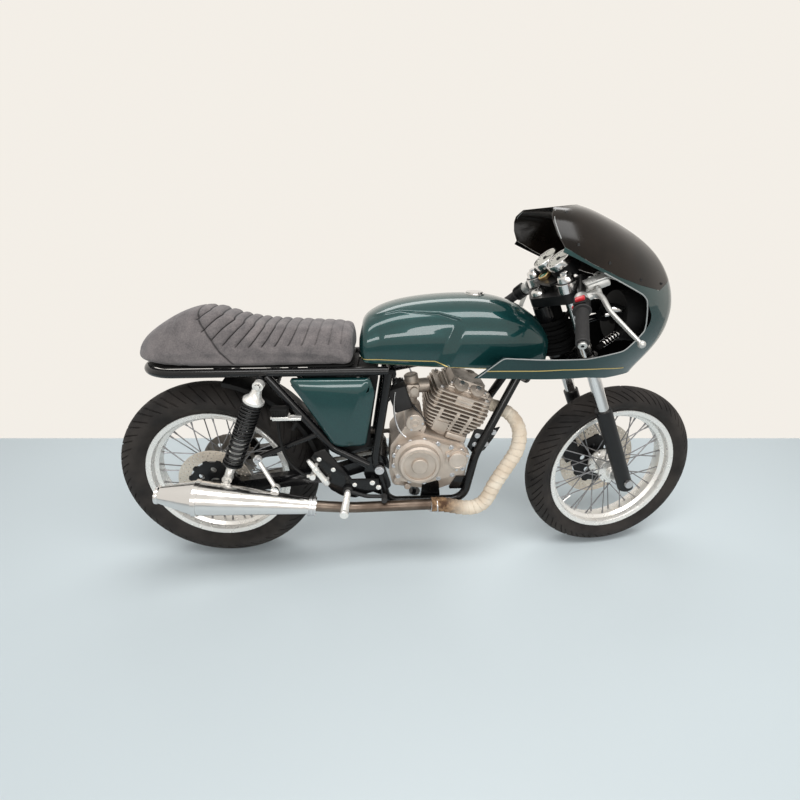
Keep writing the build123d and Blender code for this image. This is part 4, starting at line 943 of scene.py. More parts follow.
for side in (-1, 1):
    for x, z in ((1060, 1090), (1150, 1046), (1262, 1000), (1352, 983), (1040, 1165)):
        hit = on_side(screen_surface, x, z, side)
        if hit is not None:
            bar(bm, hit - Vector((0, side * 2, 0)), hit + Vector((0, side * 1.8, 0)), 4.2, 3.4, 12)
settle("screen_screws", bm, "black_metal")
print("stripes and edging")

# %% [markdown]
# The side cover is a shallow moulding: a flat middle, a crease along its upper edge and a soft fall
# to its rim. Insetting the outline twice and pushing each ring out by a little gives that shape.

# %% Side covers
COVER_OUTLINE = [(290, 716), (530, 716), (543, 668), (510, 490), (428, 486), (404, 498)]


def side_cover(side):
    """Moulded cover of one side; it is drawn on the right."""
    bm = bmesh.new()
    rim = bm.faces.new([bm.verts.new((x, -100, z)) for x, z in COVER_OUTLINE])
    made = bmesh.ops.extrude_face_region(bm, geom=[rim])["geom"]
    outer = [item for item in made if isinstance(item, bmesh.types.BMFace)]
    bmesh.ops.translate(bm, vec=(0, -17, 0), verts=outer[0].verts[:])
    for width, push in ((5, 4.5), (9, 3.5), (22, 2.5)):
        bmesh.ops.inset_region(bm, faces=outer, thickness=width, depth=0)
        bmesh.ops.translate(bm, vec=(0, -push, 0), verts=outer[0].verts[:])
    for vert in outer[0].verts:
        if vert.co.z > 640:
            vert.co.z -= 12
            vert.co.y -= 2
    corners = [edge for edge in bm.edges
               if edge.is_manifold and abs(edge.verts[0].co.y - edge.verts[1].co.y) > 1]
    bmesh.ops.bevel(bm, geom=corners, offset=11, segments=4, affect="EDGES", profile=0.5, material=-1)
    if side > 0:
        bmesh.ops.scale(bm, vec=(1, -1, 1), verts=bm.verts)
    return settle("side_cover_" + ("right", "left")[side > 0], bm, "teal_paint", smooth=28)


right_cover = side_cover(-1)
side_cover(1)
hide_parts("side_covers")
print("side covers")

# %% [markdown]
# The seat is foam under suede. Its blank is a bmesh skinned over a few sections, a little smaller
# than the real thing. Cloth with air pressure inside then swells it as a tight cover would, and only
# afterwards are the seam and the sewn ribs pressed in, because remeshing would wipe them out. The
# ribs lean with the hump at the back and fade towards the tank.

# %% Seat blank and its swelling
# Sections: x, half width at the foot, foot height, top height, half width near the top
SEAT_SECTIONS = (
    (-174, 26, 772, 790, 16), (-150, 70, 765, 822, 38), (-110, 96, 760, 850, 52), (-60, 108, 757, 877, 58),
    (0, 114, 755, 904, 60), (48, 116, 755, 913, 64), (90, 117, 755, 905, 70), (140, 117, 754, 884, 82),
    (200, 117, 754, 869, 92), (300, 114, 754, 861, 96), (400, 109, 754, 856, 92), (470, 105, 754, 852, 88),
    (484, 103, 755, 849, 86),
)


def seat_ring(x, foot, low, top, crown):
    """Points round one section of the blank."""
    shoulder = top - min(17, (top - low) * 0.35)
    half = [(0, low), (foot * 0.55, low), (foot - 7, low), (foot - 1, low + 5), (foot, low + 14)]
    for k in range(1, 5):
        half.append((foot + (crown + 6 - foot) * k / 5, low + 14 + (shoulder - 6 - low - 14) * k / 5))
    half += [(crown + 2, shoulder + 1), (crown - 7, shoulder + 7), (crown * 0.6, top - 3),
             (crown * 0.3, top - 0.6), (0, top)]
    return [(x, y, z) for y, z in half] + [(x, -y, z) for y, z in reversed(half[1:-1])]


def skin(bm, lines):
    """Closed skin over a row of closed lines of points."""
    rings = [closed_ring(bm, line) for line in lines]
    for first, second in zip(rings, rings[1:]):
        bmesh.ops.bridge_loops(bm, edges=first + second)
    for ring in (rings[0], rings[-1]):
        bmesh.ops.contextual_create(bm, geom=ring)


bm = bmesh.new()
skin(bm, [seat_ring(*row) for row in SEAT_SECTIONS])
bmesh.ops.recalc_face_normals(bm, faces=bm.faces)
bmesh.ops.transform(bm, matrix=BIKE, verts=bm.verts)
seat = finished("suede_seat", bm, FINISH["grey_suede"])
SWELL_CAP = 0.006  # metres, the most that the air moves the cover


def apply_modifiers(piece):
    """Keep the piece as its modifiers show it."""
    graph = bpy.context.evaluated_depsgraph_get()
    mesh = bpy.data.meshes.new_from_object(piece.evaluated_get(graph))
    piece.modifiers.clear()
    old, piece.data = piece.data, mesh
    bpy.data.meshes.remove(old)


smooth = seat.modifiers.new("round", "SUBSURF")
smooth.levels = smooth.render_levels = 2
voxels = seat.modifiers.new("voxels", "REMESH")
voxels.mode, voxels.voxel_size = "VOXEL", 0.0055
apply_modifiers(seat)
before = [vert.co.copy() for vert in seat.data.vertices]
cloth = seat.modifiers.new("cloth", "CLOTH")
cloth.settings.use_pressure, cloth.settings.uniform_pressure_force = True, 4.0
cloth.settings.effector_weights.gravity = 0.0
cloth.settings.quality = 4
for number in range(1, 15):
    bpy.context.scene.frame_set(number)
apply_modifiers(seat)
bpy.context.scene.frame_set(1)
for vert, start in zip(seat.data.vertices, before):
    moved = vert.co - start
    vert.co = start + moved * min(1.0, SWELL_CAP / max(moved.length, 1e-9))
finer = seat.modifiers.new("finer", "SUBSURF")
finer.levels = finer.render_levels = 1
apply_modifiers(seat)
print("seat cover", len(seat.data.polygons), "faces")

# %% [markdown]
# Each rib runs from the crown of the seat down both flanks, and each groove is as deep as a stitched
# channel pulls the foam in. The seam parts the hump from the rest. A painted shade for the grooves and
# the seam is kept with the mesh, so that the suede is darker in the grooves and along the seam.

# %% Seam and sewn ribs
# Ribs: x at the crown, x and height where the rib ends on the flank
RIBS = ((70, 34, 886), (107, 53, 856), (139, 79, 833), (167, 112, 820), (197, 148, 815), (226, 186, 814),
        (256, 223, 815), (287, 260, 816), (320, 298, 817), (353, 336, 817), (387, 374, 817), (421, 412, 817),
        (452, 448, 817))
SEAM = ((38, 930), (40, 905), (46, 884), (70, 847), (103, 800), (144, 752))


def distance_to(line, x, z):
    """Distance of a point of the side view from a line of points."""
    gaps = []
    for start, end in zip(line, line[1:]):
        run, offset = Vector(end) - Vector(start), Vector((x, z)) - Vector(start)
        gaps.append((offset - run * max(0.0, min(1.0, offset.dot(run) / run.length_squared))).length)
    return min(gaps)


def dip(distance, width):
    """Depth of a groove, from 0 to 1, at this distance from its line."""
    return exp(-(distance / width) ** 2)


back = BIKE.inverted()
normals = [vert.normal.copy() for vert in seat.data.vertices]
# painted shade of the grooves and the seam, kept with the mesh for the suede's colour
groove_shade = seat.data.attributes.new("groove", "FLOAT", "POINT")
for vert, normal in zip(seat.data.vertices, normals):
    at = back @ vert.co
    if at.z < 760:
        continue
    top = blend_rows(SEAT_SECTIONS, max(-174, min(484, at.x)))[2]
    seam = dip(distance_to(SEAM, at.x, at.z), 3.0)
    press, dark = 3.4 * seam, 0.8 * seam
    fade = 1.0 if at.x < 250 else max(0.42, 1 - (at.x - 250) / 300)
    if at.x < 482:
        for x_top, x_end, z_end in RIBS:
            share = (at.z - z_end) / max(top - z_end, 1)
            if share > -0.12:
                x_rib = x_end + (x_top - x_end) * max(0.0, min(1.0, share)) ** 0.85
                sewn = fade * smooth_step((share + 0.12) / 0.16)
                press += sewn * 5.6 * dip(at.x - x_rib, 6.0)
                dark = max(dark, sewn * dip(at.x - x_rib, 2.6))
    groove_shade.data[vert.index].value = dark
    vert.co -= normal * min(press, 6.0) * MM
for polygon in seat.data.polygons:
    polygon.use_smooth = True
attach(seat, "chassis")
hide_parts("seat")
print("ribs sewn")

# %% [markdown]
# Bent pipe is a line with rounded corners and a ring of points carried along it. One helper rounds
# the corners with true arcs, and another sweeps the ring; its radius may change along the pipe and
# round it, which is all that a lapped bandage or a tapered lever needs.

# %% Bent pipes
ARC_STEPS = 8


def rounded(points, radii):
    """Line through the points with an arc of the given radius at each inner corner."""
    points = [Vector(point) for point in points]
    found = [points[0]]
    for before, corner, after, radius in zip(points, points[1:], points[2:], radii):
        back, on = (before - corner).normalized(), (after - corner).normalized()
        half = back.angle(on) / 2
        reach = min(radius / tan(half), 0.49 * min((before - corner).length, (after - corner).length))
        radius = reach * tan(half)
        middle = corner + (back + on).normalized() * radius / sin(half)
        first, last = corner + back * reach - middle, corner + on * reach - middle
        for k in range(ARC_STEPS + 1):
            found.append(middle + (first.lerp(last, k / ARC_STEPS)).normalized() * radius)
    return found + [points[-1]]


def relaxed(path, reach):
    """The same line with every point moved to the middle of its neighbours; the ends stay."""
    found = []
    for k in range(len(path)):
        near = min(reach, k, len(path) - 1 - k)
        found.append(sum(path[k - near:k + near + 1], Vector()) / (2 * near + 1))
    return found


def sleeve(bm, path, radius_at, sides):
    """Tube along a line of points; its radius is a function of the distance along and the share round."""
    across = (path[1] - path[0]).orthogonal().normalized()
    travelled, rings = 0.0, []
    for k, point in enumerate(path):
        ahead = (path[min(k + 1, len(path) - 1)] - path[max(k - 1, 0)]).normalized()
        across = (across - ahead * across.dot(ahead)).normalized()
        over = ahead.cross(across)
        travelled += (point - path[k - 1]).length if k else 0.0
        outs = [across * cos(tau * n / sides) + over * sin(tau * n / sides) for n in range(sides)]
        rings.append([point + out * radius_at(travelled, n / sides) for n, out in enumerate(outs)])
    skin(bm, rings)


def band(bm, at, ahead, radius, width):
    """Flat ring clamp round a pipe, with the bolt that closes it."""
    place = towards(at, Vector(at) + Vector(ahead))
    half, out = width / 2, radius + 2.4
    lathe(bm, [(radius, -half), (out, -half), (out, half), (radius, half)], place, 28)
    ear = place @ Vector((0, -radius - 5, 0))
    block(bm, ear, (12, 7, 12), 1.0)
    bar(bm, ear + Vector((-10, 0, 0)), ear + Vector((10, 0, 0)), 2.6, sides=8)


# %% [markdown]
# The header pipe leaves the head, runs down in front of the engine and back under it. It is bandaged
# with glass tape: each turn laps the last, so the pipe's radius climbs slowly and drops at each edge.
# Below the engine the tape stops at two ring clamps and bare steel goes on to the silencer.

# %% Exhaust
HEADER = ((898, -14, 588), (958, -20, 572), (1012, -70, 546), (1012, -112, 470), (928, -140, 340),
          (900, -146, 262), (840, -146, 254), (760, -146, 276), (450, -150, 274), (344, -172, 302))
HEADER_BENDS = (30, 28, 36, 60, 36, 40, 60, 60)
TAPE_PITCH, TAPE_STEP, TAPE_END = 21.0, 2.4, 722.0
header_path = relaxed(dense(rounded(HEADER, HEADER_BENDS), 2.6), 16)
tape_stop = next(k for k, point in enumerate(header_path) if point.z < 300 and point.x < TAPE_END)


def tape_radius(s, share):
    """The bandage swells over the first bend, and each turn climbs over the last and drops at its edge."""
    return 20.0 + 2.4 * smooth_step(s / 260) + TAPE_STEP * ((s / TAPE_PITCH - share) % 1.0)


bm = bmesh.new()
sleeve(bm, header_path[4:tape_stop], tape_radius, 26)
settle("header_tape", bm, "wrapped_pipe", stands_for=["exhaust_header"], smooth=25)
bm = bmesh.new()
sleeve(bm, header_path[tape_stop - 3:], lambda s, share: 17.6, 26)
sleeve(bm, header_path[:8], lambda s, share: 18.4, 26)
flange = towards(HEADER[0], HEADER[1])
lathe(bm, [(0, 2), (31, 2), (33, 4), (33, 11), (30, 13), (0, 13)], flange, 36)
for turned_by in (20, 200):
    stud = flange @ turn(turned_by, "Z") @ Vector((36, 0, 0))
    bar(bm, stud, stud + (Vector(HEADER[1]) - Vector(HEADER[0])).normalized() * 20, 5.0, sides=6)
settle("link_pipe", bm, "link_steel", smooth=35)
bm = bmesh.new()
band(bm, header_path[tape_stop - 2], (-1, 0, 0.1), 19.5, 9)
band(bm, header_path[tape_stop - 9], (-1, 0, 0.1), 20.5, 9)
silencer_front, silencer_tip = Vector((346, -172, 301)), Vector((-124, -203, 384))
run = (silencer_tip - silencer_front).normalized()
band(bm, silencer_front + run * 7, run, 29.2, 8)
band(bm, silencer_front + run * 19, run, 29.2, 8)
settle("pipe_clamps", bm, "bright_steel", smooth=30)
bm = bmesh.new()
lip = [(17.2, 416), (17.2, 470), (20, 476), (24, 478.6), (27.6, 477), (28.4, 473), (27.4, 469), (25.4, 467)]
lathe(bm, lip, towards(silencer_front, silencer_tip), 48)
settle("silencer_lip", bm, "chrome", smooth=40)
bm = bmesh.new()
bolt(bm, 222, -167, 366, 8, 7)
bolt(bm, 168, -133, 452, 8, 6)
settle("hanger_bolts", bm, "bright_steel", smooth=30)
print("exhaust tape over", tape_stop, "rings")

# %% [markdown]
# Each shock absorber is a silver damper in a black coil spring. The spring is wound close at the top
# and open at the bottom, which makes it stiffer as it closes. The wire's line is a helix whose height
# follows a short table of turns, and the same sweep that made the pipe makes the wire.

# %% Shock absorbers
SHOCK_FOOT, SHOCK_HEAD = Vector((68, 136, 391)), Vector((208, 136, 707))
COIL_RADIUS, WIRE, COIL_STEPS = 26.0, 4.3, 22
COIL_HEIGHTS = ((0, 72), (0.8, 77), (5.4, 158), (6.4, 171), (16.2, 281), (17.0, 285))
springs, dampers = bmesh.new(), bmesh.new()
for side in (-1, 1):
    foot, head = (end * Vector((1, side, 1)) for end in (SHOCK_FOOT, SHOCK_HEAD))
    stand = towards(foot, head)
    turns = [k / COIL_STEPS for k in range(int(COIL_HEIGHTS[-1][0] * COIL_STEPS) + 1)]
    wire = [stand @ Vector((*polar(COIL_RADIUS, tau * t), line_at(COIL_HEIGHTS, t))) for t in turns]
    sleeve(springs, wire, lambda s, share: WIRE, 8)
    lathe(springs, [(0, 60), (29, 60), (31.5, 62), (31.5, 67), (27, 69), (22, 72)], stand, 32)
    body = [(0, 8), (13, 10), (14, 24), (14, 50), (24, 54), (26, 59), (18, 62), (18, 168), (15, 172),
            (7, 174), (7, 282), (22, 286), (31, 289), (32, 293), (31, 298), (20, 308), (15, 322), (14, 332),
            (0, 336)]
    lathe(dampers, body, stand, 36)
    for at in (foot, head):
        bar(dampers, at - Vector((0, 11, 0)), at + Vector((0, 11, 0)), 15.5, sides=24)
        bolt(dampers, at.x, at.y + side * 11, at.z, 8.5, 7, side)
settle("coil_springs", springs, "spring_black", stands_for=["shock_springs"], smooth=50)
settle("damper_bodies", dampers, "polished_alloy", stands_for=["shock_dampers"], smooth=32)
print("two shock absorbers")

# %% [markdown]
# The footrests sit far back on black plates outside the swingarm. The right one carries the brake
# pedal and its master cylinder, a silver barrel that a hose joins to a small ribbed reservoir above;
# the left one has the gear lever. Knurled pegs are turned with a row of fine grooves.

# %% Footrests and rear brake
PLATE_OUT = 133.0
FOOT_PLATE = [(326, 440), (350, 478), (384, 486), (462, 372), (548, 372), (552, 330), (470, 300), (425, 310),
              (392, 334)]
PEG = Vector((448, 0, 334))
plates, pegs, pedals, rubbers = (bmesh.new() for _ in range(4))
for side in (-1, 1):
    plate(plates, FOOT_PLATE, side * (PLATE_OUT - 7), side * PLATE_OUT, 1.2)
    for x, z in ((528, 358), (548, 340)):
        bar(plates, (x, side * 110, z), (x, side * (PLATE_OUT - 7), z), 10, sides=18)
        bolt(pegs, x, side * PLATE_OUT, z, 6.5, 5, side)
    for x, z in ((362, 452), (404, 412), (470, 352)):
        bolt(pegs, x, side * PLATE_OUT, z, 5.5, 4, side)
    start = PEG + Vector((0, side * PLATE_OUT, 0))
    end = PEG + Vector((-4, side * 262, -2))
    profile = [(0, 0), (15, 0), (15, 9), (9, 12), (9, 22)]
    for k in range(24):
        thick, along = 10.4 + k * 0.09, 24 + k * 4
        profile += [(thick - 1.2, along), (thick, along + 1.4), (thick, along + 2.6)]
    profile += [(11, 120), (13.5, 121), (13.5, 127), (12, 129), (0, 129)]
    lathe(pegs, profile, towards(start, end), 24)
    arm = [start + Vector((0, side * 8, 0)), PEG + Vector((60, side * (PLATE_OUT + 9), -22)),
           Vector((566, side * (PLATE_OUT + 8), 308))]
    sleeve(pedals, dense(rounded(arm, [60]), 12), lambda s, share: 7.5 - 0.014 * s, 12)
    lathe(pedals, [(0, 0), (17, 0), (17, 10), (13, 13), (0, 13)], towards(start, end), 28)
    rib = ((9.6, 0), (9.6, 2.2), (8.2, 2.8), (8.2, 3.8))
    ribbed = [(0, 0)] + [(r, 2.5 + 4 * k + dz) for k in range(8) for r, dz in rib] + [(0, 36)]
    lathe(rubbers, ribbed, towards((566, side * (PLATE_OUT + 3), 308), (566, side * 172, 312)), 20)
settle("footrest_plates", plates, "frame_black", stands_for=["foot_controls"], smooth=30)
settle("footrest_pegs", pegs, "polished_alloy", smooth=30)
settle("foot_levers", pedals, "black_metal", smooth=35)
settle("toe_rubbers", rubbers, "grip_rubber", smooth=30)

bm = bmesh.new()
barrel_top, barrel_foot = Vector((330, -142, 452)), Vector((392, -142, 350))
lathe(bm, [(0, -3), (6, -3), (6, 4), (8, 8), (8.4, 28), (11, 33), (11, 42), (9.6, 46), (10.2, 72), (10.8, 98),
           (8.5, 105), (0, 105)], towards(barrel_top, barrel_foot), 28)
for x, z, radius in ((340, 398, 9.5), (352, 434, 5.5), (384, 380, 5.5)):
    bar(bm, (x, -132, z), (x, -156, z), radius, sides=18)
bar(bm, (340, -146, 398), (322, -142, 396), 6, sides=12)
settle("rear_cylinder_barrel", bm, "polished_alloy", stands_for=["rear_master_cylinder"], smooth=35)
bm = bmesh.new()
block(bm, (276, -125, 596), (86, 26, 8), 1.5)
block(bm, (256, -125, 602), (54, 32, 7), 1.5)
settle("reservoir_tray", bm, "polished_alloy", smooth=30)
bm = bmesh.new()
block(bm, (256, -125, 616), (48, 30, 22), 3)
block(bm, (256, -125, 629), (52, 33, 5), 1.5)
for k in range(6):
    block(bm, (237 + k * 7.6, -141, 616), (3.4, 3, 20), 0.7)
pipe(bm, [(246, -125, 592), (246, -127, 560), (247, -130, 520), (254, -132, 470), (276, -136, 425),
          (318, -142, 397)], 4.6)
bar(bm, (304, -127, 584), (288, -127, 556), 6.5, sides=16)
pipe(bm, [(90, -92, 300), (130, -112, 330), (200, -128, 352), (280, -136, 380), (330, -142, 392)], 3.6)
settle("reservoir_and_hoses", bm, "black_plastic", stands_for=["brake_reservoir"], smooth=35)
print("footrests and rear brake")

# %% [markdown]
# The engine's large castings are the solids. What makes them look cast and bolted together is small:
# a row of bosses with bolts round each cover, plugs, the pillars that tie the cooling fins together,
# inspection caps on the rocker box and the clamps of the carburettor's rubbers. The covers face
# sideways, so their parts are drawn in the side view. The barrel leans forward, so its parts are
# drawn in a frame of its own.

# %% Engine covers, fins and carburettor
RIGHT_COVER, LEFT_COVER = -112.0, 108.0
COVER_BOLTS = ((602, 446), (600, 408), (613, 366), (652, 346), (700, 340), (748, 354), (794, 367), (828, 390),
               (838, 428), (820, 457), (786, 471), (742, 485), (698, 499), (654, 494), (616, 476))
BARREL = BIKE @ Matrix.Translation((768, 0, 488)) @ turn(20, "Y")
FIN_PITCH, FIN_THICK, FIN_FIRST, FINS = 13.5, 4.0, 24.0, 7
HEAD_JOINT = FIN_FIRST + FINS * FIN_PITCH - 4


def cover_boss(bm, x, z, y, side):
    """Round boss with a hexagon bolt in it, on a cover that faces sideways."""
    boss = [(8.7, -6), (8.7, 0), (7.5, 1.2), (5.5, 1.4), (5.5, 0.4), (0, 0.4)]
    lathe(bm, boss, sideways(x, y, z, side), 14)
    bar(bm, (x, y, z), (x, y + side * 5, z), 4.1, 3.7, 6)


bosses, castings = bmesh.new(), bmesh.new()
for x, z in COVER_BOLTS:
    cover_boss(bosses, x, z, RIGHT_COVER, -1)
    cover_boss(bosses, x, z, LEFT_COVER, 1)
for x, z, radius in ((612, 344, 14), (645, 321, 11)):
    plug = [(radius, 0), (radius, 24), (radius - 2, 26), (radius - 3.5, 26), (radius - 3.5, 23.5), (0, 23.5)]
    lathe(castings, plug, sideways(x, -84, z, -1), 28)
filter_cap = [(29, -3), (29.6, 0), (28.5, 1.6), (23, 2.2), (22, 1), (0, 1)]
lathe(castings, filter_cap, sideways(806, -130, 430, -1), 40)
for x, z in circle(806, 430, 36, 3, 28.648):
    bar(castings, (x, -84, z), (x, -121, z), 9, 8, 16)
    bar(bosses, (x, -121, z), (x, -126, z), 4.6, sides=6)
clutch = sideways(682, -146, 424, -1)
lathe(castings, [(81, -34), (82, -32), (81, -29), (69, -25), (68.6, -8)], clutch, 72)
lathe(castings, [(26.5, -1), (26.5, 2), (24, 4.4), (4, 4.8), (0, 4.8)], clutch, 48)
lathe(castings, [(55, -1), (54, 1.6), (52.5, 1), (52.5, -4)], clutch, 64)
bar(castings, (628, -113, 420), (600, -108, 422), 11, 5, 16)
starter_end = [(29, -2), (29.4, 3), (27.5, 5.5), (15, 6), (14, 8), (10, 8.4), (9.4, 5), (0, 5)]
lathe(castings, starter_end, sideways(668, -96, 556, -1), 40)
for x, z in circle(668, 556, 24, 3, 120.321):
    bar(bosses, (x, -96, z), (x, -105, z), 4.2, sides=6)
block(castings, (646, -78, 520), (16, 16, 40), 4, turn(-24, "Y"))
block(castings, (694, -78, 522), (16, 16, 36), 4, turn(16, "Y"))
generator_cap = [(66.5, -20), (67, -3), (64, 0.8), (48, 1.8), (44, 4), (16, 4.6), (14, 3), (0, 3)]
lathe(castings, generator_cap, sideways(742, 128, 424, 1), 64)
for x, z in circle(742, 424, 56, 6):
    bar(bosses, (x, 127, z), (x, 133, z), 4.6, sides=6)
settle("cover_bolts", bosses, "bright_steel", smooth=30)
settle("cover_castings", castings, "engine_alloy", smooth=32)

HEAD_TOP = HEAD_JOINT + 4 * FIN_PITCH + 4
HEAD_BOLTS = ((-50, -70), (62, -70), (-50, 70), (62, 70), (6, -74), (6, 74))
ROCKER_CAPS = [towards((x, side * 68, HEAD_TOP + 16), (x, side * 69, HEAD_TOP + 17))
               for side in (-1, 1) for x in (-22, 34)]
STUDS = [(x, side * 78) for side in (-1, 1) for x in (-76, 76)]
FIN_GAP = FIN_PITCH - FIN_THICK
bm = bmesh.new()
for number in range(FINS - 1):
    middle = FIN_FIRST + FIN_PITCH * number + FIN_THICK + FIN_GAP / 2
    reach = (min(200, 150 + 11 * number) - 8) / 2 - 1.5
    for x in (-52, 4, 48):
        for side in (-1, 1):
            block(bm, (x, side * (reach + 48) / 2, middle), (11, reach - 48, FIN_GAP + 1))
for side in (-1, 1):
    block(bm, (-30, side * 66, 40), (52, 24, 52), 6)
    block(bm, (34, side * 64, 14), (70, 30, 22), 5)
    block(bm, (6, side * 84, HEAD_TOP - 26), (60, 22, 34), 5)
    block(bm, (66, side * 60, HEAD_TOP + 10), (26, 26, 20), 5)
for x, y in STUDS:
    bar(bm, (x, y, HEAD_JOINT - 16), (x, y, HEAD_JOINT + 50), 9, sides=18)
block(bm, (6, 0, HEAD_TOP + 4), (134, 164, 8), 3)
for cap in ROCKER_CAPS:
    lathe(bm, [(25, -12), (25, 8), (23, 11), (16, 12), (0, 12)], cap, 32)
block(bm, (84, 0, HEAD_JOINT + 26), (56, 78, 58), 9)
for x, y in HEAD_BOLTS:
    bar(bm, (x, y, HEAD_TOP + 2), (x, y, HEAD_TOP + 13), 9, 7, 16)
settle("head_castings", bm, "engine_alloy", BARREL, smooth=32)
bm = bmesh.new()
for x, y in HEAD_BOLTS:
    bar(bm, (x, y, HEAD_TOP + 13), (x, y, HEAD_TOP + 19), 5.2, sides=6)
for x, y in STUDS:
    bar(bm, (x, y, HEAD_JOINT + 50), (x, y, HEAD_JOINT + 57), 6.5, sides=6)
for cap in ROCKER_CAPS:
    bar(bm, cap @ Vector((0, 0, 12)), cap @ Vector((0, 0, 18)), 8, sides=6)
settle("head_bolts", bm, "bright_steel", BARREL, smooth=30)

bellows = [(24.5, 0), (30, 2), (33, 8), (33, 14), (30, 20), (32, 26), (30, 32), (27, 36), (24.5, 36)]
bm = bmesh.new()
lathe(bm, bellows, towards((600, 0, 640), (690, 0, 646)), 32)
for start, end in (((640, -26, 655), (560, -70, 600)), ((652, -20, 600), (700, -96, 560))):
    middle = (Vector(start) + Vector(end)) / 2 + Vector((0, -14, 10))
    pipe(bm, [start, tuple(middle), end], 4.4)
block(bm, (622, -40, 622), (60, 52, 84), 8, turn(-18, "Y"))
settle("inlet_rubber", bm, "grip_rubber", smooth=40)
bm = bmesh.new()
block(bm, (664, -10, 640), (44, 58, 46), 6)
slide_cover = [(0, 0), (21, 0), (23, 3), (23, 26), (18, 30), (0, 30)]
float_bowl = [(0, 0), (16, 0), (24, 6), (25, 30), (0, 30)]
lathe(bm, slide_cover, towards((664, -4, 660), (658, -4, 690)), 28)
lathe(bm, float_bowl, towards((654, -6, 586), (658, -6, 616)), 28)
bar(bm, (668, -38, 646), (668, -52, 646), 12, sides=20)
bar(bm, (648, -38, 630), (648, -46, 630), 7, sides=16)
settle("carburettor_body", bm, "engine_alloy", smooth=32)
bm = bmesh.new()
band(bm, (611, 0, 640.7), (1, 0, 0.07), 33, 8)
band(bm, (633, 0, 642), (1, 0, 0.07), 30, 8)
pipe(bm, [(662, -4, 690), (650, -8, 740), (600, -30, 752), (560, -60, 742)], 2.6)
pipe(bm, [(606, -64, 650), (594, -74, 590), (608, -84, 520), (640, -86, 500)], 3.2)
settle("inlet_clamps", bm, "bright_steel", smooth=32)
print(len(COVER_BOLTS) * 2, "cover bolts")

# %% [markdown]
# The frame's own small parts: the bolts that hold the engine plates, the pivot of the swingarm and
# the nuts of the rear spindle, whose place in the slot sets the chain's tension. The calipers get
# their piston bores and pad pins, and the rear one its bracket.

# %% Frame bolts and calipers
MOUNT_PLATE = [(846, 452), (868, 520), (905, 512), (950, 524), (930, 482), (905, 440), (872, 420)]
bm = bmesh.new()
for side in (-1, 1):
    plate(bm, MOUNT_PLATE, side * 71, side * 78, 1.2)
settle("engine_mount_plates", bm, "frame_black", smooth=30)
bm = bmesh.new()
for side in (-1, 1):
    for x, z in ((930, 506), (877, 495), (871, 462), (908, 462)):
        bolt(bm, x, side * 78, z, 7, 5, side)
    bolt(bm, 552, side * 126, 401, 11, 7, side)
    bolt(bm, 0, side * 126, 335, 12, 10, side)
    bar(bm, (-24, side * 108, 335), (-62, side * 108, 335), 4, sides=10)
    bar(bm, (-50, side * 108, 335), (-57, side * 108, 335), 7, sides=6)
settle("frame_bolts", bm, "bright_steel", smooth=30)
bm = bmesh.new()
for x, z in ((84, 310), (108, 300)):
    bar(bm, (x, -94, z), (x, -100, z), 13, 12, 24)
block(bm, (98, -97, 326), (52, 5, 8), 1.5)
settle("rear_caliper_pistons", bm, "black_metal", smooth=30)
bm = bmesh.new()
for z in (76, 114):
    bar(bm, (-45, 90, z), (-45, 97, z), 17, 15, 28)
bar(bm, (-60, 70, 137), (-60, 70, 144), 5, sides=12)
settle("front_caliper_pistons", bm, "black_metal", STEERED, "steering", smooth=30)
print("bolts and calipers")

# %% [markdown]
# Everything the rider holds or reads turns with the fork, so it is drawn in the steering's own frame
# and rides on that body. A place along a handlebar is found by its distance from the bar's end, so the
# grip, the switches and the lever's clamp sit one after the other as they slide on to the real bar.

# %% Grips, levers and switches
BAR_END, BAR_ROOT = Vector((-58, -300, 640)), Vector((84, -104, 731))
BAR_RUN = (BAR_ROOT - BAR_END).normalized()
GRIP_LENGTH = 128.0


def along_bar(distance):
    return BAR_END + BAR_RUN * distance


def both_bars(name, make, paint, stands_for=(), smooth=35):
    """Build the right-hand piece, mirror it, and let both turn with the steering."""
    bm = bmesh.new()
    make(bm)
    bmesh.ops.mirror(bm, geom=bm.verts[:] + bm.edges[:] + bm.faces[:], axis="Y", merge_dist=-1)
    return settle(name, bm, paint, STEERED, "steering", stands_for=stands_for, smooth=smooth)


def grip(bm):
    profile = [(11.2, 0), (14, 0), (16.5, 1.5)]
    for k in range(26):
        profile += [(16.5, 3 + 4.3 * k), (16.5, 5.4 + 4.3 * k), (15.4, 6.1 + 4.3 * k), (15.4, 6.8 + 4.3 * k)]
    profile += [(16.5, 116), (23, 117), (24, 119), (23, 121.5), (11.2, 122)]
    lathe(bm, profile, towards(along_bar(6), along_bar(20)), 28)


def bar_end(bm):
    insert = [(4.2, 3), (4.2, -2.4), (7, -3.2), (10.2, -2.6), (11, -1), (11, 5.5)]
    lathe(bm, insert, towards(along_bar(0), along_bar(9)), 32)


def lever(bm):
    root = along_bar(GRIP_LENGTH + 43)
    elbow = root + Vector((46, -14, 2))
    tip = elbow + Vector((-24, -160, -106))
    line = [root + Vector((8, 0, 2)), elbow, elbow + Vector((-24, -62, -34)), tip]
    blade = relaxed(dense(rounded(line, [14, 60]), 4), 7)
    sleeve(bm, blade, lambda s, share: (9.6 - 0.014 * s) * (1 - 0.28 * cos(tau * 2 * share)), 16)
    bmesh.ops.create_icosphere(bm, subdivisions=3, radius=9.4, matrix=Matrix.Translation(tip))
    collar = [(11, 0), (18, 0), (19, 2), (19, 20), (18, 22), (11, 22)]
    lathe(bm, collar, towards(along_bar(160), along_bar(182)), 30)
    clamp = towards(root, along_bar(300))
    block(bm, clamp @ Vector((0, -17, 0)), (12, 12, 20), 2)
    bar(bm, root + Vector((8, -2, 0)), root + Vector((40, -10, 2)), 12, 10, 20)
    pivot = root + Vector((42, -12, 2))
    bar(bm, pivot - Vector((0, 0, 13)), pivot + Vector((0, 0, 13)), 9, sides=20)
    bar(bm, pivot + Vector((0, 0, 13)), pivot + Vector((0, 0, 18)), 5.5, sides=6)


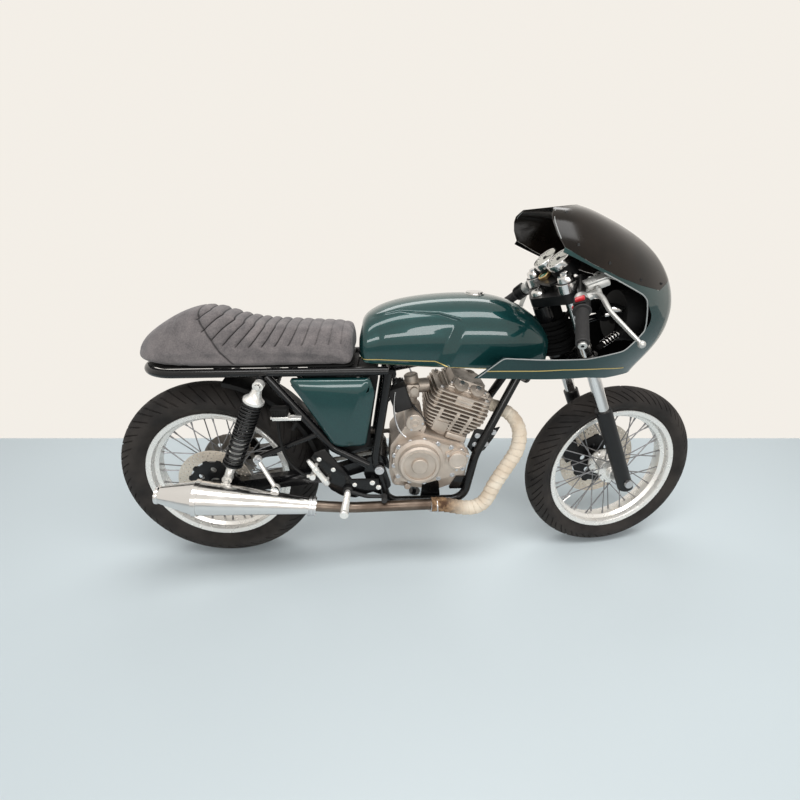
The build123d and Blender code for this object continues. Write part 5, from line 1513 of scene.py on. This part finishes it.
POD = towards(along_bar(129), along_bar(160))
POD_TURN = POD.to_3x3().to_4x4()


def pod(bm):
    halves = [(11.2, 0), (20, 0), (22, 2), (22, 14), (21.2, 14.6), (21.2, 15.4), (22, 16), (22, 28),
              (20, 30.5), (11.2, 30.5)]
    lathe(bm, halves, POD, 30)
    block(bm, POD @ Vector((0, 16, 15)), (30, 18, 27), 3.5, POD_TURN)
    block(bm, POD @ Vector((0, -16, 15)), (18, 14, 24), 3, POD_TURN)
    leaves = [POD @ Vector((0, -18, 20)), along_bar(190) + Vector((14, 6, -30))]
    pipe(bm, leaves + [(70, -98, 668), (52, -66, 655), (46, -50, 640)], 3.4)


both_bars("ribbed_grips", grip, "grip_rubber", stands_for=["grips"], smooth=30)
both_bars("bar_end_rings", bar_end, "satin_silver")
both_bars("hand_levers", lever, "satin_silver", stands_for=["levers"], smooth=40)
both_bars("switch_housings", pod, "black_plastic", stands_for=["switch_pods"], smooth=32)
bm = bmesh.new()
for at, size in (((-2, 27, 15), (24, 8, 15)), ((19, 6, 10), (8, 12, 9))):
    block(bm, POD @ Vector(at), size, 2, POD_TURN @ turn(8, "X"))
settle("red_switches", bm, "red_plastic", STEERED, "steering", smooth=35)
print("grip length", GRIP_LENGTH)

# %% [markdown]
# The gauges are cups with a polished rim and a pale dial, tilted back to the rider. A dial has
# graduations and a needle, and no words. A small thermometer with a green dial hangs on a bracket
# beside them. The fork caps and the stem nut are turned and polished, and so is the reservoir of the
# front brake.

# %% Gauges, fork caps and front brake reservoir
GAUGE_FOOT, GAUGE_TILT = Vector((86, 41, 746)), -20
rims, dials, marks = bmesh.new(), bmesh.new(), bmesh.new()
for side in (-1, 1):
    cup = Matrix.Translation(GAUGE_FOOT * Vector((1, side, 1))) @ turn(GAUGE_TILT, "Y")
    rim = [(38.2, 36), (38.2, 40), (39.6, 41), (39.6, 52), (38.6, 55), (36, 56), (34.4, 54.8), (34, 52.2)]
    lathe(rims, rim, cup, 56)
    lathe(dials, [(0, 52.6), (34.2, 52.6), (34.2, 52.2), (0, 52.2)], cup, 56)
    bar(marks, cup @ Vector((0, 0, 52.6)), cup @ Vector((0, 0, 56.5)), 6.2, 5.4, 20)
    for k in range(19):
        angle = radians(-132 + 264 * k / 18)
        ends = [cup @ Vector((-cos(angle) * r, sin(angle) * r, 52.9)) for r in ((25.5, 28.5)[k % 2], 32.2)]
        bar(marks, *ends, 0.75, sides=6)
    needle = radians(-118)
    bar(marks, cup @ Vector((0, 0, 54)), cup @ Vector((-cos(needle) * 27, sin(needle) * 27, 54)), 1.3, 0.5, 8)
small = Matrix.Translation((46, 24, 744)) @ turn(GAUGE_TILT, "Y")
brass = bmesh.new()
lathe(brass, [(0, 0), (17, 0), (18.5, 2), (18.5, 12), (17, 14), (14.6, 14), (14.4, 11.6)], small, 40)
settle("thermometer_ring", brass, "brass", STEERED, "steering", smooth=35)
green = bmesh.new()
lathe(green, [(0, 11.9), (14.5, 11.9), (14.5, 11.2), (0, 11.2)], small, 40)
settle("thermometer_dial", green, "dial_green", STEERED, "steering", smooth=35)
bar(dials, small @ Vector((0, 0, 12)), small @ Vector((-10, 5, 12.4)), 1.0, 0.5, 8)
block(marks, (60, 24, 743), (62, 34, 5), 2, turn(-24, "Y"))
settle("gauge_rims", rims, "chrome", STEERED, "steering", smooth=35)
settle("gauge_dials", dials, "dial_white", STEERED, "steering", smooth=35)
settle("gauge_marks", marks, "black_plastic", STEERED, "steering", smooth=35)

bm = bmesh.new()
for side in (-1, 1):
    cap = Matrix.Translation((FORK_OFFSET, side * FORK_SPREAD, 742))
    lathe(bm, [(19.2, 0), (22, 1), (22, 15), (20, 18.5), (11, 19), (11, 21)], cap, 36)
    cone(bm, cap @ Matrix.Translation((0, 0, 17.5)), 11.5, 11, 9, 6)
    lathe(bm, [(26.4, -29), (28, -28), (28, -1.5), (26, 0), (19.2, 0)], cap, 36)
lathe(bm, [(19.4, 712), (21, 713), (21, 724), (19, 727), (9, 727.5), (9, 724)], steps=36)
settle("fork_caps", bm, "chrome", STEERED, "steering", smooth=35)
bm = bmesh.new()
block(bm, (94, -157, 716), (58, 42, 22), 5, turn(-18, "Z"))
block(bm, (94, -157, 730), (62, 46, 7), 2.5, turn(-18, "Z"))
bar(bm, along_bar(176) + Vector((24, 0, 2)), along_bar(232) + Vector((30, 0, 2)), 11, sides=22)
bar(bm, along_bar(198) + Vector((30, 0, 6)), (94, -157, 706), 9, sides=16)
settle("front_brake_reservoir", bm, "satin_silver", STEERED, "steering", smooth=32)
bm = bmesh.new()
pipe(bm, [(96, -150, 740), (128, -138, 742), (132, -128, 712), (104, -138, 694), (74, -110, 716),
          (68, -84, 746)], 2.3)
pipe(bm, [(78, -132, 712), (70, -118, 680), (58, -84, 664), (50, -40, 664), (46, -24, 668)], 2.3)
settle("pale_cables", bm, "pale_cable", STEERED, "steering", smooth=50)
bm = bmesh.new()
pipe(bm, [(104, -122, 716), (92, -116, 690), (84, -60, 650), (82, 10, 560), (84, 84, 470), (84, 124, 400),
          (76, 130, 300), (40, 130, 200), (-20, 112, 150), (-40, 92, 136)], 3.6, resolution=8)
pipe(bm, [(84, 118, 716), (84, 108, 690), (70, 60, 655), (52, 26, 648)], 3.0)
settle("front_brake_hose", bm, "grip_rubber", STEERED, "steering", smooth=50)
print("gauges", GAUGE_TILT, "degrees back, caps and hoses")

# %% [markdown]
# Behind the headlamp there is a black bowl with the bulb's holder, a bright spring clip and the plug
# of its wires. A boom with two small boxes carries the wiring from the headstock to the lamp.

# %% Back of the headlamp
LAMP = Matrix.Translation((0, 0, 872)) @ turn(90, "Y")  # lies along x, so heights on it are x
bowl = [(84, 1392), (82, 1372), (74, 1350), (56, 1326), (30, 1312), (26, 1296), (18, 1294), (0, 1294)]
bm = bmesh.new()
lathe(bm, bowl, LAMP, 56)
block(bm, (1262, -46, 900), (60, 40, 34), 5, turn(12, "Y"))
block(bm, (1248, 44, 894), (66, 42, 40), 5)
pipe(bm, [(1296, 0, 872), (1262, -10, 850), (1230, -30, 872), (1226, -40, 894)], 7)
pipe(bm, [(1300, -14, 866), (1290, -66, 846), (1262, -96, 832), (1206, -112, 800)], 8)
settle("lamp_bowl", bm, "dull_black", smooth=35)
bm = bmesh.new()
lathe(bm, [(30, 1311), (34, 1309), (34, 1304), (27, 1303)], LAMP, 40)
pipe(bm, [(1318, -30, 894), (1296, -50, 884), (1290, -44, 860), (1312, -28, 852)], 2.2)
block(bm, (1268, -67, 902), (40, 4, 12), 1.2, turn(12, "Y"))
block(bm, (1240, -67, 888), (14, 5, 10), 1.2)
LOOM_START, LOOM_STEP = Vector((1268, -90, 835)), Vector((-9, -3.2, -4.6))
for k in range(6):
    at = LOOM_START + LOOM_STEP * k
    lathe(bm, [(10.4, 0), (11.4, 1), (11.4, 3), (10.4, 4)], towards(at, at + LOOM_STEP), 16)
settle("lamp_clips", bm, "chrome", smooth=35)
bm = bmesh.new()
lathe(bm, [(70, 1412), (70, 1417), (62, 1420), (44, 1424), (22, 1427), (0, 1428)], LAMP, 64)
settle("lamp_lens", bm, "lens_glass", smooth=60)
rim = [(77.5, 1406), (78.5, 1412), (77.5, 1418), (74, 1420.5), (71, 1419), (70, 1416), (70, 1410)]
bm = bmesh.new()
lathe(bm, rim, LAMP, 64)
settle("lamp_rim", bm, "chrome", smooth=45)
bm = bmesh.new()
for k in range(8):
    up, out = 524 + 14 * k, 56 + 5 * (k % 3)
    right, left = ([(-62, side * 36, up + 20), (-30, side * out, up + 8), (22, side * out, up),
                    (out, side * 14, up - 8)] for side in (-1, 1))
    pipe(bm, right + [(out + 4, 16, up - 10)], 7)
    pipe(bm, left, 7)
block(bm, (44, 0, 566), (30, 70, 88), 6)
block(bm, (30, 0, 642), (28, 60, 50), 6)
settle("headstock_loom", bm, "dull_black", HEADSTOCK, smooth=50)
print("lamp bowl and loom")

# %% [markdown]
